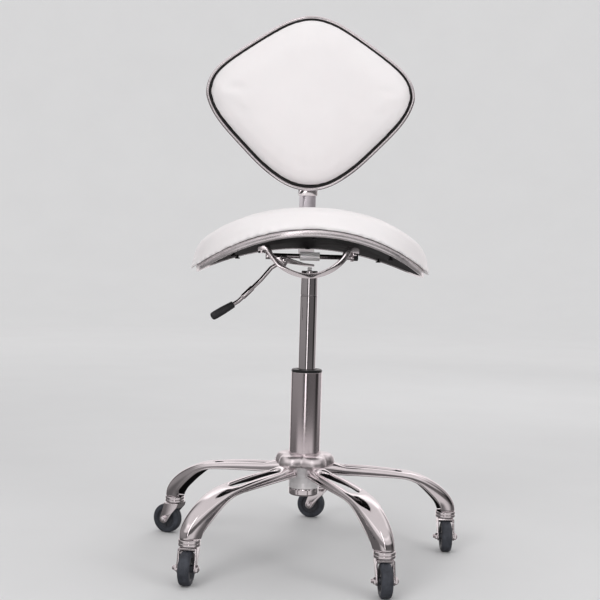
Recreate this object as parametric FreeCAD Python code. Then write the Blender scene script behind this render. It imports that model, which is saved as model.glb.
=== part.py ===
import FreeCAD, Part
import math, os
from FreeCAD import Vector as V

# Rolling stylist stool.  Millimetres, +Z up, origin on the floor on the column axis,
# seat front faces -Y, the seat and the backrest are symmetric about X = 0.

os.makedirs("parts", exist_ok=True)

# ---------------------------------------------------------------- driving dimensions
LEG_ANGLES = (81.2, 153.2, 225.2, 297.2, 9.2)     # plan direction of each leg, degrees
LEG_NAMES = ("rear", "left_rear", "left_front", "right_front", "right")
TRAIL_ANGLES = (162.0, 153.0, 260.0, 273.0, 268.0)  # plan direction each caster trails at rest
STEM_CIRCLE_R = 243.0

# leg: upper edge (r, z), lower edge (r, z), width
LEG_STATIONS = (
    (27.0, 151.0, 27.0, 133.0, 37.5),
    (46.0, 149.2, 46.0, 132.2, 42.0),
    (80.0, 146.0, 79.0, 131.0, 43.0),
    (112.0, 143.0, 109.0, 129.3, 43.0),
    (148.0, 138.2, 142.0, 127.0, 43.0),
    (178.0, 132.6, 170.0, 123.3, 42.5),
    (200.0, 125.6, 189.0, 115.5, 42.0),
    (219.5, 115.8, 204.0, 104.0, 40.0),
    (236.5, 103.8, 215.5, 92.0, 37.5),
    (249.0, 91.0, 223.0, 81.0, 35.5),
    (256.6, 78.0, 226.5, 72.5, 34.0),
    (259.4, 65.0, 227.0, 65.0, 33.0),
)
LEG_SHEET = 2.4
SLOT_R0, SLOT_R1, SLOT_W = 62.0, 163.0, 13.0

HUB_TOP = 165.0
HUB_LOBE_R = 50.0
SLEEVE_BOTTOM = 109.0
TUBE_OD, TUBE_ID = 50.0, 46.0
TUBE_TOP = 302.0
TUBE_BOTTOM = 97.0
TUBE_FOOT_R = 22.3
CYL_R = 14.0
CYL_BOTTOM, CYL_TOP = 222.0, 460.0
CYL_TAPER_Z, CYL_TAPER_R = 420.0, 13.3
ROD_R = 5.0

COLLAR_R, COLLAR_Z0, COLLAR_Z1 = 16.5, 55.0, 65.0
STEM_R = 4.0
FORK_TOP = 54.0
FORK_HALF_OUT, FORK_SHEET = 13.75, 2.3
WHEEL_R, WHEEL_W, WHEEL_TRAIL = 25.0, 17.0, 14.0

BRACKET_R_OUT, BRACKET_T, BRACKET_CX, BRACKET_CZ, BRACKET_HALF_Y = 76.0, 8.0, -3.5, 524.0, 26.0
PIVOT = V(-42.0, 0.0, 476.0)
CROSS_Y, CROSS_Z, CROSS_R = 16.0, 483.0, 4.0

SEAT_HALF_X, SEAT_HALF_Y, SEAT_CY, SEAT_N = 180.0, 167.5, 2.5, 2.6
BAND_H = 10.5
PAD_HALF_X, PAD_HALF_Y = 190.0, 177.0

BAR_HALF_W = 14.5
BAR_Y0, BAR_Y1 = 200.2, 206.2
BACK_Y0, BACK_Y1 = 183.0, 197.0
# backrest outline, right half from the lowest to the highest point: (x, z)
BACK_OUTLINE = ((0, 599.4), (30, 604.3), (57.5, 618), (89, 641.5), (124.5, 677), (155, 709), (174, 735),
                (184, 758), (185.7, 772), (181.5, 793), (166, 816), (138, 838.5), (103, 862.5),
                (66, 886.5), (35.5, 902), (0, 909.6))

# ---------------------------------------------------------------- helpers
nodes = {}


def save(name, *shapes):
    solids = [s for sh in shapes for s in sh.Solids]
    assert solids, name
    out = solids[0] if len(solids) == 1 else Part.makeCompound(solids)
    bad = [s for s in solids if not s.isValid() or s.Volume <= 1.0]
    print("%-26s solids %2d  volume %10.0f %s" % (name, len(solids), sum(s.Volume for s in solids), "BAD" if bad else ""))
    out.exportStep("parts/%s.step" % name)
    nodes[name] = out


def cyl(r, p, d, h):
    return Part.makeCylinder(r, h, V(*p), V(*d))


def lathe(profile, at=(0, 0, 0)):
    w = Part.makePolygon([V(r, 0, z) for r, z in profile] + [V(profile[0][0], 0, profile[0][1])])
    s = Part.Face(w).revolve(V(0, 0, 0), V(0, 0, 1), 360)
    s.translate(V(*at))
    return Part.Solid(s) if not s.Solids else s.Solids[0]


def ring(r_in, r_out, z0, z1, at=(0, 0)):
    return lathe(((r_in, z0), (r_out, z0), (r_out, z1), (r_in, z1)), (at[0], at[1], 0))


def box(x0, x1, y0, y1, z0, z1):
    return Part.makeBox(x1 - x0, y1 - y0, z1 - z0, V(x0, y0, z0))


def poly_y(points, y0, y1):
    """Prism along Y over an XZ polygon."""
    w = Part.makePolygon([V(x, y0, z) for x, z in points] + [V(points[0][0], y0, points[0][1])])
    return Part.Face(w).extrude(V(0, y1 - y0, 0))


def hexagon(af, p, d, h):
    """Hexagonal prism, af across flats, from p along d."""
    r = af / math.sqrt(3.0)
    pts = [V(r * math.cos(math.radians(60 * i)), r * math.sin(math.radians(60 * i)), 0) for i in range(6)]
    s = Part.Face(Part.makePolygon(pts + [pts[0]])).extrude(V(0, 0, h))
    s.Placement = FreeCAD.Placement(V(*p), FreeCAD.Rotation(V(0, 0, 1), V(*d)))
    return s


def turned(shape, deg, at=(0, 0, 0)):
    s = shape.copy()
    s.rotate(V(0, 0, 0), V(0, 0, 1), deg)
    s.translate(V(*at))
    return s


def polar(r, deg):
    return r * math.cos(math.radians(deg)), r * math.sin(math.radians(deg))


def fuse(*shapes):
    s = shapes[0].multiFuse(list(shapes[1:])) if len(shapes) > 1 else shapes[0]
    return s.removeSplitter()


# ---------------------------------------------------------------- pressed leg
def leg_loft(grow, drop, end_drop):
    """D-shaped loft; grow widens it, drop pushes the flat side below the lower edge."""
    wires = []
    stations = list(LEG_STATIONS)
    rt, zt, rb, zb, w = stations[-1]
    if end_drop:
        stations.append((rt, zt - end_drop, rb, zb - end_drop, w))
    for k, (rt, zt, rb, zb, w) in enumerate(stations):
        nx, nz = rt - rb, zt - zb
        h = math.hypot(nx, nz)
        nx, nz = nx / h, nz / h
        h += grow
        half = w / 2.0 + grow
        pts = []
        n = 22
        for i in range(n + 1):
            a = math.pi * i / n
            c, s = math.cos(a), math.sin(a)
            y = half * math.copysign(abs(c) ** (2 / 2.5), c)
            e = h * s ** (2 / 2.3)
            pts.append(V(rb + nx * e, y, zb + nz * e))
        arc = Part.BSplineCurve()
        arc.interpolate(pts)
        e1 = arc.toShape()
        if drop:
            q0 = pts[0] - V(nx, 0, nz) * drop
            q1 = pts[-1] - V(nx, 0, nz) * drop
            wires.append(Part.Wire([e1, Part.makeLine(pts[-1], q1), Part.makeLine(q1, q0), Part.makeLine(q0, pts[0])]))
        else:
            wires.append(Part.Wire([e1, Part.makeLine(pts[-1], pts[0])]))
    return Part.makeLoft(wires, True, False)


def stadium(half_w, r0, r1, z0, z1):
    s = box(r0 + half_w, r1 - half_w, -half_w, half_w, z0, z1)
    return fuse(s, cyl(half_w, (r0 + half_w, 0, z0), (0, 0, 1), z1 - z0), cyl(half_w, (r1 - half_w, 0, z0), (0, 0, 1), z1 - z0))


leg_outer = leg_loft(0.0, 0.0, 0.0)
leg_inner = leg_loft(-LEG_SHEET, 6.0, 6.0)
lip = stadium(SLOT_W / 2 + 2.2, SLOT_R0 - 2.2, SLOT_R1 + 2.2, 100, 170).common(leg_outer)
leg = leg_outer.cut(leg_inner)
leg = fuse(leg, lip).cut(stadium(SLOT_W / 2, SLOT_R0, SLOT_R1, 90, 180))
leg = leg.cut(Part.makeCylinder(27.2, 80, V(0, 0, 100)))
leg = leg.Solids[0] if len(leg.Solids) == 1 else max(leg.Solids, key=lambda s: s.Volume)
for name, ang in zip(LEG_NAMES, LEG_ANGLES):
    save("leg_" + name, turned(leg, ang))

# ---------------------------------------------------------------- hub
lobes = [turned(box(0, HUB_LOBE_R - 20, -22.5, 22.5, 145, HUB_TOP), a) for a in LEG_ANGLES]
ends = [cyl(22.5, (*polar(HUB_LOBE_R - 22.5, a), 145), (0, 0, 1), HUB_TOP - 145) for a in LEG_ANGLES]
crown = fuse(Part.makeCylinder(40, HUB_TOP - 145, V(0, 0, 145)), *lobes, *ends)
try:
    top = [e for e in crown.Edges if e.BoundBox.ZMin > HUB_TOP - 0.01]
    rounded = crown.makeFillet(7.0, top)
    crown = rounded if rounded.isValid() and rounded.Volume > 0.5 * crown.Volume else crown
except Exception:
    print("hub fillet left out")
crown = crown.cut(Part.makeCylinder(27.25, 90, V(0, 0, 100)))
leg_room = leg_loft(0.12, 6.0, 0.0)
for a in LEG_ANGLES:
    crown = crown.cut(turned(leg_room, a))
crown = max(crown.Solids, key=lambda s: s.Volume)
crown = fuse(crown, ring(25.3, 27.4, 162.6, HUB_TOP))
save("hub_crown", crown)

taper = (TUBE_OD / 2 - TUBE_FOOT_R) / (160.0 - TUBE_BOTTOM)
r_tube = lambda z: TUBE_OD / 2 - taper * (160.0 - z) if z < 160 else TUBE_OD / 2
sleeve = lathe(((r_tube(SLEEVE_BOTTOM) + 0.03, SLEEVE_BOTTOM), (24.6, SLEEVE_BOTTOM), (24.6, 112), (25.2, 122), (27.1, 134),
                (27.1, 162.5), (25.05, 162.5), (25.05, 160)))
save("hub_sleeve", sleeve)
save("hub_lock_ring", lathe(((r_tube(98) + 0.15, 98), (23.4, 98), (24.3, 99.5), (24.3, 107), (23.6, 108.4), (r_tube(108.4) + 0.05, 108.4))))

# ---------------------------------------------------------------- column
save("column_outer_tube", lathe((
    (18.5, TUBE_BOTTOM), (TUBE_FOOT_R, TUBE_BOTTOM), (TUBE_OD / 2, 160), (TUBE_OD / 2, TUBE_TOP), (TUBE_ID / 2, TUBE_TOP),
    (TUBE_ID / 2, 160), (r_tube(101) - 2.0, 101), (18.5, 101))))
save("column_base_plate", ring(ROD_R + 0.08, 20.3, 101.0, 104.0))
save("thrust_bearing", ring(5.6, 12.0, 104.0, 108.5))
save("column_guide_bush", lathe(((CYL_R + 0.08, 262), (22.9, 262), (22.9, 302.1), (24.9, 302.1), (24.6, 306), (16.5, 306.5), (CYL_R + 0.08, 305.5))))
save("retaining_clip", ring(ROD_R + 0.02, 8.0, 99.6, 100.8))
save("piston_rod", fuse(cyl(ROD_R, (0, 0, 98.6), (0, 0, 1), 277 - 98.6), cyl(9.0, (0, 0, 108.7), (0, 0, 1), 2.5)))
save("piston", ring(ROD_R + 0.02, 11.9, 263, 273))
save("gas_cylinder", lathe((
    (12.0, CYL_BOTTOM), (CYL_R - 0.6, CYL_BOTTOM), (CYL_R, CYL_BOTTOM + 1), (CYL_R, CYL_TAPER_Z - 0.8), (CYL_R - 0.5, CYL_TAPER_Z),
    (CYL_R - 0.15, CYL_TAPER_Z + 0.8), (CYL_TAPER_R, 456), (CYL_TAPER_R - 0.1, 459), (CYL_TAPER_R - 0.9, CYL_TOP),
    (3.58, CYL_TOP), (3.58, 440), (0, 440), (0, 436), (12.0, 436))))
save("cylinder_gland", ring(ROD_R + 0.08, 11.95, CYL_BOTTOM, CYL_BOTTOM + 10))
button = lathe(((0, 446), (3.5, 446), (3.5, 465.4), (3.0, 466.0), (0, 466.2)))
save("release_button", button)

# ---------------------------------------------------------------- casters
collars, sockets = [], []
for k, (name, ang, trail) in enumerate(zip(LEG_NAMES, LEG_ANGLES, TRAIL_ANGLES)):
    cx, cy = polar(STEM_CIRCLE_R, ang)
    collars.append(lathe(((STEM_R + 0.08, COLLAR_Z0), (COLLAR_R - 1.2, COLLAR_Z0), (COLLAR_R, COLLAR_Z0 + 1.2),
                          (COLLAR_R, COLLAR_Z1 - 0.8), (COLLAR_R - 0.8, COLLAR_Z1), (STEM_R + 0.08, COLLAR_Z1)), (cx, cy, 0)))
    sockets.append(lathe(((STEM_R + 0.08, COLLAR_Z1), (7.0, COLLAR_Z1), (7.0, 82), (6.0, 84.5), (0, 84.5), (0, 82), (STEM_R + 0.08, 82)), (cx, cy, 0)))
    # fork, drawn with the trail along +X and the wheel axis along Y
    w = FORK_HALF_OUT
    side = ((-13.5, FORK_TOP), (13.5, FORK_TOP), (14.5, 47), (21.2, 27.5), (20.6, 22), (17.5, 18.8), (14, 18), (10.5, 18.8),
            (7.6, 21.6), (-2.0, 36.5), (-11.6, 47.5))
    block = poly_y(side, -w, w)
    hollow = box(-30, 40, -w + FORK_SHEET, w - FORK_SHEET, 0, FORK_TOP - 2.3)
    web = poly_y(((-13.2, FORK_TOP - 1), (-11.6, 47.5), (-7.9, 43.3), (-5.9, 44.6), (-9.4, 48.4), (-10.8, FORK_TOP - 1)), -w + 0.5, w - 0.5)
    axle_hole = cyl(3.05, (WHEEL_TRAIL, -20, 25), (0, 1, 0), 40)
    fork = fuse(block.cut(hollow), web).cut(axle_hole)
    try:
        vert = [e for e in fork.Edges if abs(e.Vertexes[0].Z - e.Vertexes[-1].Z) < 1e-6 and e.BoundBox.ZMin > FORK_TOP - 0.01
                and e.BoundBox.XLength > 20]
        f2 = fork.makeFillet(2.2, vert)
        fork = f2 if f2.isValid() and f2.Solids else fork
    except Exception:
        print("fork fillet left out")
    fork = fuse(fork, cyl(8.5, (0, 0, FORK_TOP - 0.5), (0, 0, 1), 1.25), cyl(STEM_R, (0, 0, FORK_TOP - 0.5), (0, 0, 1), 80.5 - FORK_TOP))
    save("caster_fork_" + name, turned(fork, trail, (cx, cy, 0)))
    ax = WHEEL_TRAIL
    bolt = fuse(cyl(3.0, (ax, -FORK_HALF_OUT - 7.2, 25), (0, 1, 0), 2 * FORK_HALF_OUT + 8.2),
                hexagon(10, (ax, FORK_HALF_OUT, 25), (0, 1, 0), 3.6),
                Part.makeSphere(6.2, V(ax, FORK_HALF_OUT - 0.6, 25)).common(cyl(4.9, (ax, FORK_HALF_OUT + 3.6, 25), (0, 1, 0), 2.3)))
    nut = fuse(hexagon(9, (ax, -FORK_HALF_OUT, 25), (0, -1, 0), 3.4), cyl(3.9, (ax, -FORK_HALF_OUT, 25), (0, -1, 0), 4.4)).cut(
        cyl(3.02, (ax, 0, 25), (0, -1, 0), FORK_HALF_OUT + 9))
    save("caster_axle_" + name, turned(bolt, trail, (cx, cy, 0)), turned(nut, trail, (cx, cy, 0)))

    def wheel_part(profile):
        s = lathe(profile)
        s.rotate(V(0, 0, 0), V(1, 0, 0), 90)
        s.translate(V(ax, 0, 25))
        return turned(s, trail, (cx, cy, 0))

    h = WHEEL_W / 2
    save("caster_tyre_" + name, wheel_part(((17.5, -h), (21.5, -h), (24.0, -h + 1.4), (WHEEL_R, -h + 4.0), (WHEEL_R, h - 4.0),
                                            (24.0, h - 1.4), (21.5, h), (17.5, h))))
    save("caster_wheel_" + name, wheel_part(((3.08, -10.6), (5.5, -10.6), (5.8, -7.0), (15.5, -6.2), (16.2, -7.6), (17.45, -7.6), (17.45, 7.6),
                                             (16.2, 7.6), (15.5, 6.2), (5.8, 7.0), (5.5, 10.6), (3.08, 10.6))))
save("caster_collars", *collars)
save("caster_stem_sockets", *sockets)


# ---------------------------------------------------------------- seat surfaces
def z_rim(x, y):
    """Lower edge of the rim: an arched saddle, higher and rounder at the front."""
    zc = 504.0 - 0.0463 * y
    r = 350.0 + 0.38 * y
    return zc - (r - math.sqrt(max(r * r - x * x, 1.0)))


def grid_face(fn, hx=198.0, y0=-186.0, y1=191.0, nx=25, ny=15):
    pts = [[V(-hx + 2 * hx * i / (nx - 1), y0 + (y1 - y0) * j / (ny - 1), 0) for j in range(ny)] for i in range(nx)]
    pts = [[V(p.x, p.y, fn(p.x, p.y)) for p in row] for row in pts]
    s = Part.BSplineSurface()
    s.interpolate(pts)
    return s.toShape()


def slab(z0, z1):
    f = grid_face(z_rim)
    f.translate(V(0, 0, z0))
    return f.extrude(V(0, 0, z1 - z0))


def plan_prism(hx, hy, z0=380.0, z1=620.0, n=SEAT_N):
    pts = []
    m = 56
    for i in range(m):
        a = 2 * math.pi * i / m
        c, s = math.cos(a), math.sin(a)
        r = (abs(c) ** n + abs(s) ** n) ** (-1.0 / n)
        pts.append(V(hx * r * c, SEAT_CY + hy * r * s, z0))
    cv = Part.BSplineCurve()
    cv.interpolate(pts, PeriodicFlag=True)
    return Part.Face(Part.Wire([cv.toShape()])).extrude(V(0, 0, z1 - z0))


prism_out = plan_prism(SEAT_HALF_X, SEAT_HALF_Y)
prism_in = plan_prism(SEAT_HALF_X - 2.4, SEAT_HALF_Y - 2.4)
prism_core = plan_prism(SEAT_HALF_X - 2.5, SEAT_HALF_Y - 2.5)
foot_bolts = [(BRACKET_CX + sx * 74.2, y) for sx in (-1, 1) for y in (-16.0, 2.5)]
bolt_holes = [Part.makeCylinder(3.05, 120, V(x, y, 440)) for x, y in foot_bolts]
pan_screw_at = [(sx * 120.0, sy * 95.0 + 2) for sx in (-1, 1) for sy in (-1, 1)] + [(0.0, -135.0), (0.0, 135.0)]
screw_holes = [Part.makeCylinder(2.05, 140, V(x, y, 420)) for x, y in pan_screw_at]

band = slab(0.0, BAND_H).common(prism_out.cut(prism_in))
save("seat_trim_band", band)
pan = slab(1.0, 4.0).common(prism_core)
board = slab(4.06, 11.4).common(prism_core)
for c in bolt_holes + screw_holes:
    pan, board = pan.cut(c), board.cut(c)
save("seat_pan", pan)
save("seat_board", board)


def pad_top(x, y):
    rho = ((abs(x) / PAD_HALF_X) ** SEAT_N + (abs(y - SEAT_CY) / PAD_HALF_Y) ** SEAT_N) ** (1 / SEAT_N)
    return z_rim(x, y) + 11.5 + 13.0 + 22.5 * (1.0 - min(rho, 1.12) ** 8) + 3.0e-4 * x * x


top_face = grid_face(pad_top, nx=41, ny=35)
pad = top_face.extrude(V(0, 0, -150)).common(plan_prism(PAD_HALF_X, PAD_HALF_Y)).common(slab(11.5, 90.0))
save("seat_pad", max(pad.Solids, key=lambda s: s.Volume))

screws = []
for x, y in pan_screw_at:
    z = z_rim(x, y) + 1.0
    lean = 3.4 if abs(x) > 1 else 1.2
    screws.append(fuse(cyl(2.0, (x, y, z - lean), (0, 0, 1), 8.0 + lean), cyl(4.2, (x, y, z - lean - 2.2), (0, 0, 1), 2.2)))
save("seat_pan_screws", *screws)

# ---------------------------------------------------------------- seat bracket
R0, R1, CX, CZ = BRACKET_R_OUT, BRACKET_R_OUT - BRACKET_T, BRACKET_CX, BRACKET_CZ


def arc_pts(r, a0, a1, n=40):
    return [(CX + r * math.sin(math.radians(a0 + (a1 - a0) * i / n)), CZ - r * math.cos(math.radians(a0 + (a1 - a0) * i / n))) for i in range(n + 1)]


def arc_edge(r, a0, a1):
    p = [arc_pts(r, a, a, 1)[0] for a in (a0, (a0 + a1) / 2, a1)]
    return Part.Arc(*[V(x, -BRACKET_HALF_Y, z) for x, z in p]).toShape(), p[0], p[2]


out_arc, oa, ob = arc_edge(R0, -56, 56)
in_arc, ia, ib = arc_edge(R1, 56, -56)
P = lambda x, z: V(x, -BRACKET_HALF_Y, z)
right = [ob, (CX + 68.0, 491.5), (CX + 80.5, 489.5), (CX + 80.5, 512.0), (CX + 68.5, 512.0), ia]
left = [ib, (CX - 68.5, 512.0), (CX - 80.5, 512.0), (CX - 80.5, 489.5), (CX - 68.0, 491.5), oa]
edges = [out_arc] + [Part.makeLine(P(*a), P(*b)) for a, b in zip(right, right[1:])] + [in_arc] + \
        [Part.makeLine(P(*a), P(*b)) for a, b in zip(left, left[1:])]
strap = Part.Face(Part.Wire(edges)).extrude(V(0, 2 * BRACKET_HALF_Y, 0))
strap = strap.cut(slab(0.95, 80.0))
ear_prof = [(-35.2, 479.5), (-35.6, 472.0), (-38.2, 467.6)] + arc_pts(R1 + 2.0, -33, -50, 6) + [(-53.0, 483.5), (-42.0, 484.0), (-37.5, 482.6)]
ears = [poly_y(ear_prof, 7.6, 10.2), poly_y(ear_prof, -10.2, -7.6)]
strap = fuse(strap, *ears)
d = V(-16, 0, -10.4)
d.normalize()
lever_slot = Part.makeBox(24, 13.6, 15.5)
lever_slot.translate(V(0, -6.8, -7.0))
lever_slot.rotate(V(0, 0, 0), V(0, 1, 0), math.degrees(math.atan2(10.4, -16)) * -1)
lever_slot = fuse(*[poly_y([(-42 + d.x * a + n * 10.4 / 19.1, 476 + d.z * a - n * 16 / 19.1) for a, n in ((4, -8.4), (34, -8.4), (34, 6.2), (4, 6.2))], -6.8, 6.8)])
strap = strap.cut(lever_slot)
cyl_cone = lathe(((0, 440), (CYL_TAPER_R + 0.7 * 16 / 36 + 0.02, 440), (CYL_TAPER_R + 0.02, 456), (CYL_TAPER_R + 0.02, 470), (0, 470)))
strap = strap.cut(cyl_cone).cut(cyl(CROSS_R + 0.03, (-100, CROSS_Y, CROSS_Z), (1, 0, 0), 200)).cut(cyl(2.53, (-42, -20, 476), (0, 1, 0), 40))
for c in bolt_holes:
    strap = strap.cut(c)
save("seat_bracket", max(strap.Solids, key=lambda s: s.Volume))

bolts = []
for x, y in foot_bolts:
    bolts.append(fuse(hexagon(10, (x, y, 486.2), (0, 0, 1), 5.0), cyl(3.0, (x, y, 487), (0, 0, 1), 15.0)))
bolts = [b.cut(strap) for b in bolts]
save("bracket_bolts", *[max(b.Solids, key=lambda s: s.Volume) for b in bolts])
save("lever_pivot_pin", fuse(cyl(2.5, (-42, -11.4, 476), (0, 1, 0), 22.8), cyl(3.8, (-42, 10.3, 476), (0, 1, 0), 1.6), cyl(3.8, (-42, -11.9, 476), (0, 1, 0), 1.6)))
cross = fuse(cyl(CROSS_R, (-67, CROSS_Y, CROSS_Z), (1, 0, 0), 139), hexagon(11, (-71.8, CROSS_Y, CROSS_Z), (1, 0, 0), 10.0))
save("cross_bolt", cross.cut(strap))
knob = lathe(((CROSS_R + 0.08, 0), (6.4, 0), (6.4, 5.0), (5.2, 6.0), (5.2, 11.5), (4.2, 12.5), (0, 12.5), (0, 6.2), (CROSS_R + 0.08, 6.2)))
knob.rotate(V(0, 0, 0), V(0, 1, 0), 90)
knob.translate(V(66.4, CROSS_Y, CROSS_Z))
save("clamp_knob", knob)

# ---------------------------------------------------------------- release lever
boss = cyl(6.2, (-42, -6.3, 476), (0, 1, 0), 12.6)
arm = poly_y(((7, 466.9), (7, 470.4), (-10, 472.4), (-38, 481), (-44, 471), (-33, 470.2), (-8, 466.9)), -5.0, 5.0)
path = [V(-44, 0, 474.7), V(-62, 0, 463.0), V(-78, 0.5, 443.5), V(-113.5, -4.0, 408.0), V(-121.7, -6.0, 402.7), V(-151, -16.0, 384.6)]
rods = []
for a, b in zip(path, path[1:]):
    v = b - a
    rods += [Part.makeCylinder(3.4, v.Length, a, v), Part.makeSphere(3.4, b)]
v = path[3] - path[2]
thick = Part.makeCylinder(4.6, 22.0, path[2] + v * 0.38, v)
lever = fuse(boss, arm, *rods).cut(cyl(2.57, (-42, -20, 476), (0, 1, 0), 40))
lever = fuse(lever, thick)
ga, gb = V(-121.7, -6.0, 402.7), V(-155.5, -17.5, 381.8)
gv = gb - ga
grip = fuse(Part.makeCylinder(5.6, 6.0, ga, gv), Part.makeCone(5.6, 6.6, gv.Length * 0.5, ga + gv * 0.13, gv),
            Part.makeCylinder(6.6, gv.Length * 0.37 - 4, ga + gv * 0.63, gv), Part.makeSphere(6.6, gb - gv * (4 / gv.Length)))
save("lever_grip", grip.cut(lever) if False else grip.cut(fuse(*rods)))
save("release_lever", lever)

# ---------------------------------------------------------------- backrest bar
bar_r = 22.0
yc, zc = BAR_Y0 - bar_r, 486.0 + bar_r
Q = lambda y, z: V(-BAR_HALF_W, y, z)
s2 = math.sqrt(0.5)
e = [Part.makeLine(Q(CROSS_Y, 480), Q(yc, 480)),
     Part.Arc(Q(yc, 480), Q(yc + 28 * s2, zc - 28 * s2), Q(BAR_Y1, zc)).toShape(),
     Part.makeLine(Q(BAR_Y1, zc), Q(BAR_Y1, 716)), Part.makeLine(Q(BAR_Y1, 716), Q(BAR_Y0, 716)), Part.makeLine(Q(BAR_Y0, 716), Q(BAR_Y0, zc)),
     Part.Arc(Q(BAR_Y0, zc), Q(yc + 22 * s2, zc - 22 * s2), Q(yc, 486)).toShape(),
     Part.makeLine(Q(yc, 486), Q(CROSS_Y, 486)), Part.makeLine(Q(CROSS_Y, 486), Q(CROSS_Y, 480))]
bar = Part.Face(Part.Wire(e)).extrude(V(2 * BAR_HALF_W, 0, 0))
bar = fuse(bar, cyl(7.0, (-16, CROSS_Y, CROSS_Z), (1, 0, 0), 32)).cut(cyl(CROSS_R + 0.08, (-40, CROSS_Y, CROSS_Z), (1, 0, 0), 80))
bar_screw_at = [(0.0, z) for z in (622.0, 650.0, 678.0, 704.0)]
back_holes = [cyl(2.55, (x, 175, z), (0, 1, 0), 40) for x, z in bar_screw_at]
for c in back_holes:
    bar = bar.cut(c)
save("backrest_bar", bar)
plate = box(-17, 17, BACK_Y1 + 0.1, BAR_Y0 - 0.05, 592, 712)
for c in back_holes:
    plate = plate.cut(c)
save("backrest_bracket", plate)

# ---------------------------------------------------------------- backrest
half = list(BACK_OUTLINE)
outline = half + [(-x, z) for x, z in reversed(half[1:-1])]
cx0, cz0 = 0.0, sum(z for _, z in outline) / len(outline)


def dense(points):
    cv = Part.BSplineCurve()
    cv.interpolate([V(x, 0, z) for x, z in points], PeriodicFlag=True)
    a, b = cv.FirstParameter, cv.LastParameter
    return [(cv.value(a + (b - a) * i / 90.0), cv.tangent(a + (b - a) * i / 90.0)[0]) for i in range(90)]


DENSE = dense(outline)


def back_wire(offset, y):
    pts = []
    for p, t in DENSE[::2]:
        n = V(t.z, 0, -t.x)
        n.normalize()
        q = p - n * offset
        pts.append(V(q.x, y, q.z))
    cv = Part.BSplineCurve()
    cv.interpolate(pts, PeriodicFlag=True)
    return Part.Wire([cv.toShape()])


def back_prism(offset, y0, y1):
    return Part.Face(back_wire(offset, y0)).extrude(V(0, y1 - y0, 0))


save("backrest_trim", back_prism(0.0, BACK_Y0, BACK_Y1).cut(back_prism(5.0, BACK_Y0 - 5, BACK_Y1 + 5)))
back_board = back_prism(5.1, 187.0, BACK_Y1)
for c in back_holes:
    back_board = back_board.cut(c)
save("backrest_board", back_board)
save("backrest_pad", Part.makeLoft([back_wire(9.6, 186.9), back_wire(9.0, 176.0), back_wire(10.5, 164.0), back_wire(18.0, 154.5), back_wire(34.0, 149.0)], True, False))
save("backrest_screws", *[fuse(cyl(2.5, (x, 188.0, z), (0, 1, 0), BAR_Y1 - 188.0), cyl(4.6, (x, BAR_Y1, z), (0, 1, 0), 2.8)) for x, z in bar_screw_at])

print("nodes", len(nodes))
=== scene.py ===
import bpy, bmesh, math
import numpy as np
from mathutils import Matrix, Vector, noise


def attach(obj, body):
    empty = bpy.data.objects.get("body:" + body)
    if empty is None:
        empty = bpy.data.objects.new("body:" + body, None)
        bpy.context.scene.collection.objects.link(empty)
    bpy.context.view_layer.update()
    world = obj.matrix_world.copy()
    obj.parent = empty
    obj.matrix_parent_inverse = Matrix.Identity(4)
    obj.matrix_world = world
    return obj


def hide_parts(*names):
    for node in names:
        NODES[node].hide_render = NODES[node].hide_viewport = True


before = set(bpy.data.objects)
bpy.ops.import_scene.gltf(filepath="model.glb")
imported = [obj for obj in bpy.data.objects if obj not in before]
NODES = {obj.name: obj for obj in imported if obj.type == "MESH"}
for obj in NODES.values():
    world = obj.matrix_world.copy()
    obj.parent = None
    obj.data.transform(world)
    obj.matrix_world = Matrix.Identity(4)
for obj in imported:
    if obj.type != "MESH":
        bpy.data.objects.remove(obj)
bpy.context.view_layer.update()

SC = bpy.context.scene
MM = 0.001

# ------------------------------------------------------------------ dimensions shared with the CAD model (mm)
LEG_ANGLES = (81.2, 153.2, 225.2, 297.2, 9.2)
LEG_NAMES = ("rear", "left_rear", "left_front", "right_front", "right")
TRAIL_ANGLES = (162.0, 153.0, 260.0, 273.0, 268.0)
STEM_R0 = 243.0
LEG_STATIONS = (
    (27.0, 151.0, 27.0, 133.0, 27.0),
    (46.0, 149.2, 46.0, 132.2, 31.0),
    (80.0, 146.0, 79.0, 131.0, 37.5),
    (112.0, 143.0, 109.0, 129.3, 41.5),
    (148.0, 138.2, 142.0, 127.0, 43.0),
    (178.0, 132.6, 170.0, 123.3, 42.5),
    (200.0, 125.6, 189.0, 115.5, 42.0),
    (219.5, 115.8, 204.0, 104.0, 40.0),
    (236.5, 103.8, 216.5, 92.3, 37.0),
    (249.0, 91.0, 226.0, 81.6, 33.6),
    (256.6, 78.0, 230.8, 72.8, 30.2),
    (258.8, 65.4, 232.6, 65.2, 27.6),
)
SLOT_R0, SLOT_R1, SLOT_W = 61.0, 164.5, 15.6
SEAT_HX, SEAT_HY, SEAT_CY, SEAT_N = 180.0, 167.5, 2.5, 2.6
BACK_OUTLINE = ((0, 599.4), (30, 604.3), (57.5, 618), (89, 641.5), (124.5, 677), (155, 709), (174, 735),
                (184, 758), (185.7, 772), (181.5, 793), (166, 816), (138, 838.5), (103, 862.5),
                (66, 886.5), (35.5, 902), (0, 909.6))


# ------------------------------------------------------------------ materials
def new_mat(name):
    m = bpy.data.materials.new(name)
    m.use_nodes = True
    nt = m.node_tree
    nt.nodes.clear()
    out = nt.nodes.new("ShaderNodeOutputMaterial")
    b = nt.nodes.new("ShaderNodeBsdfPrincipled")
    nt.links.new(b.outputs[0], out.inputs[0])
    return m, nt, b


def N(nt, kind, **props):
    n = nt.nodes.new(kind)
    for k, v in props.items():
        if k in ("inputs",):
            for i, val in v.items():
                n.inputs[i].default_value = val
        else:
            setattr(n, k, v)
    return n


def coords(nt, scale=(1, 1, 1)):
    tc = N(nt, "ShaderNodeTexCoord")
    mp = N(nt, "ShaderNodeMapping")
    mp.inputs["Scale"].default_value = scale
    nt.links.new(tc.outputs["Object"], mp.inputs["Vector"])
    return mp.outputs[0]


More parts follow.
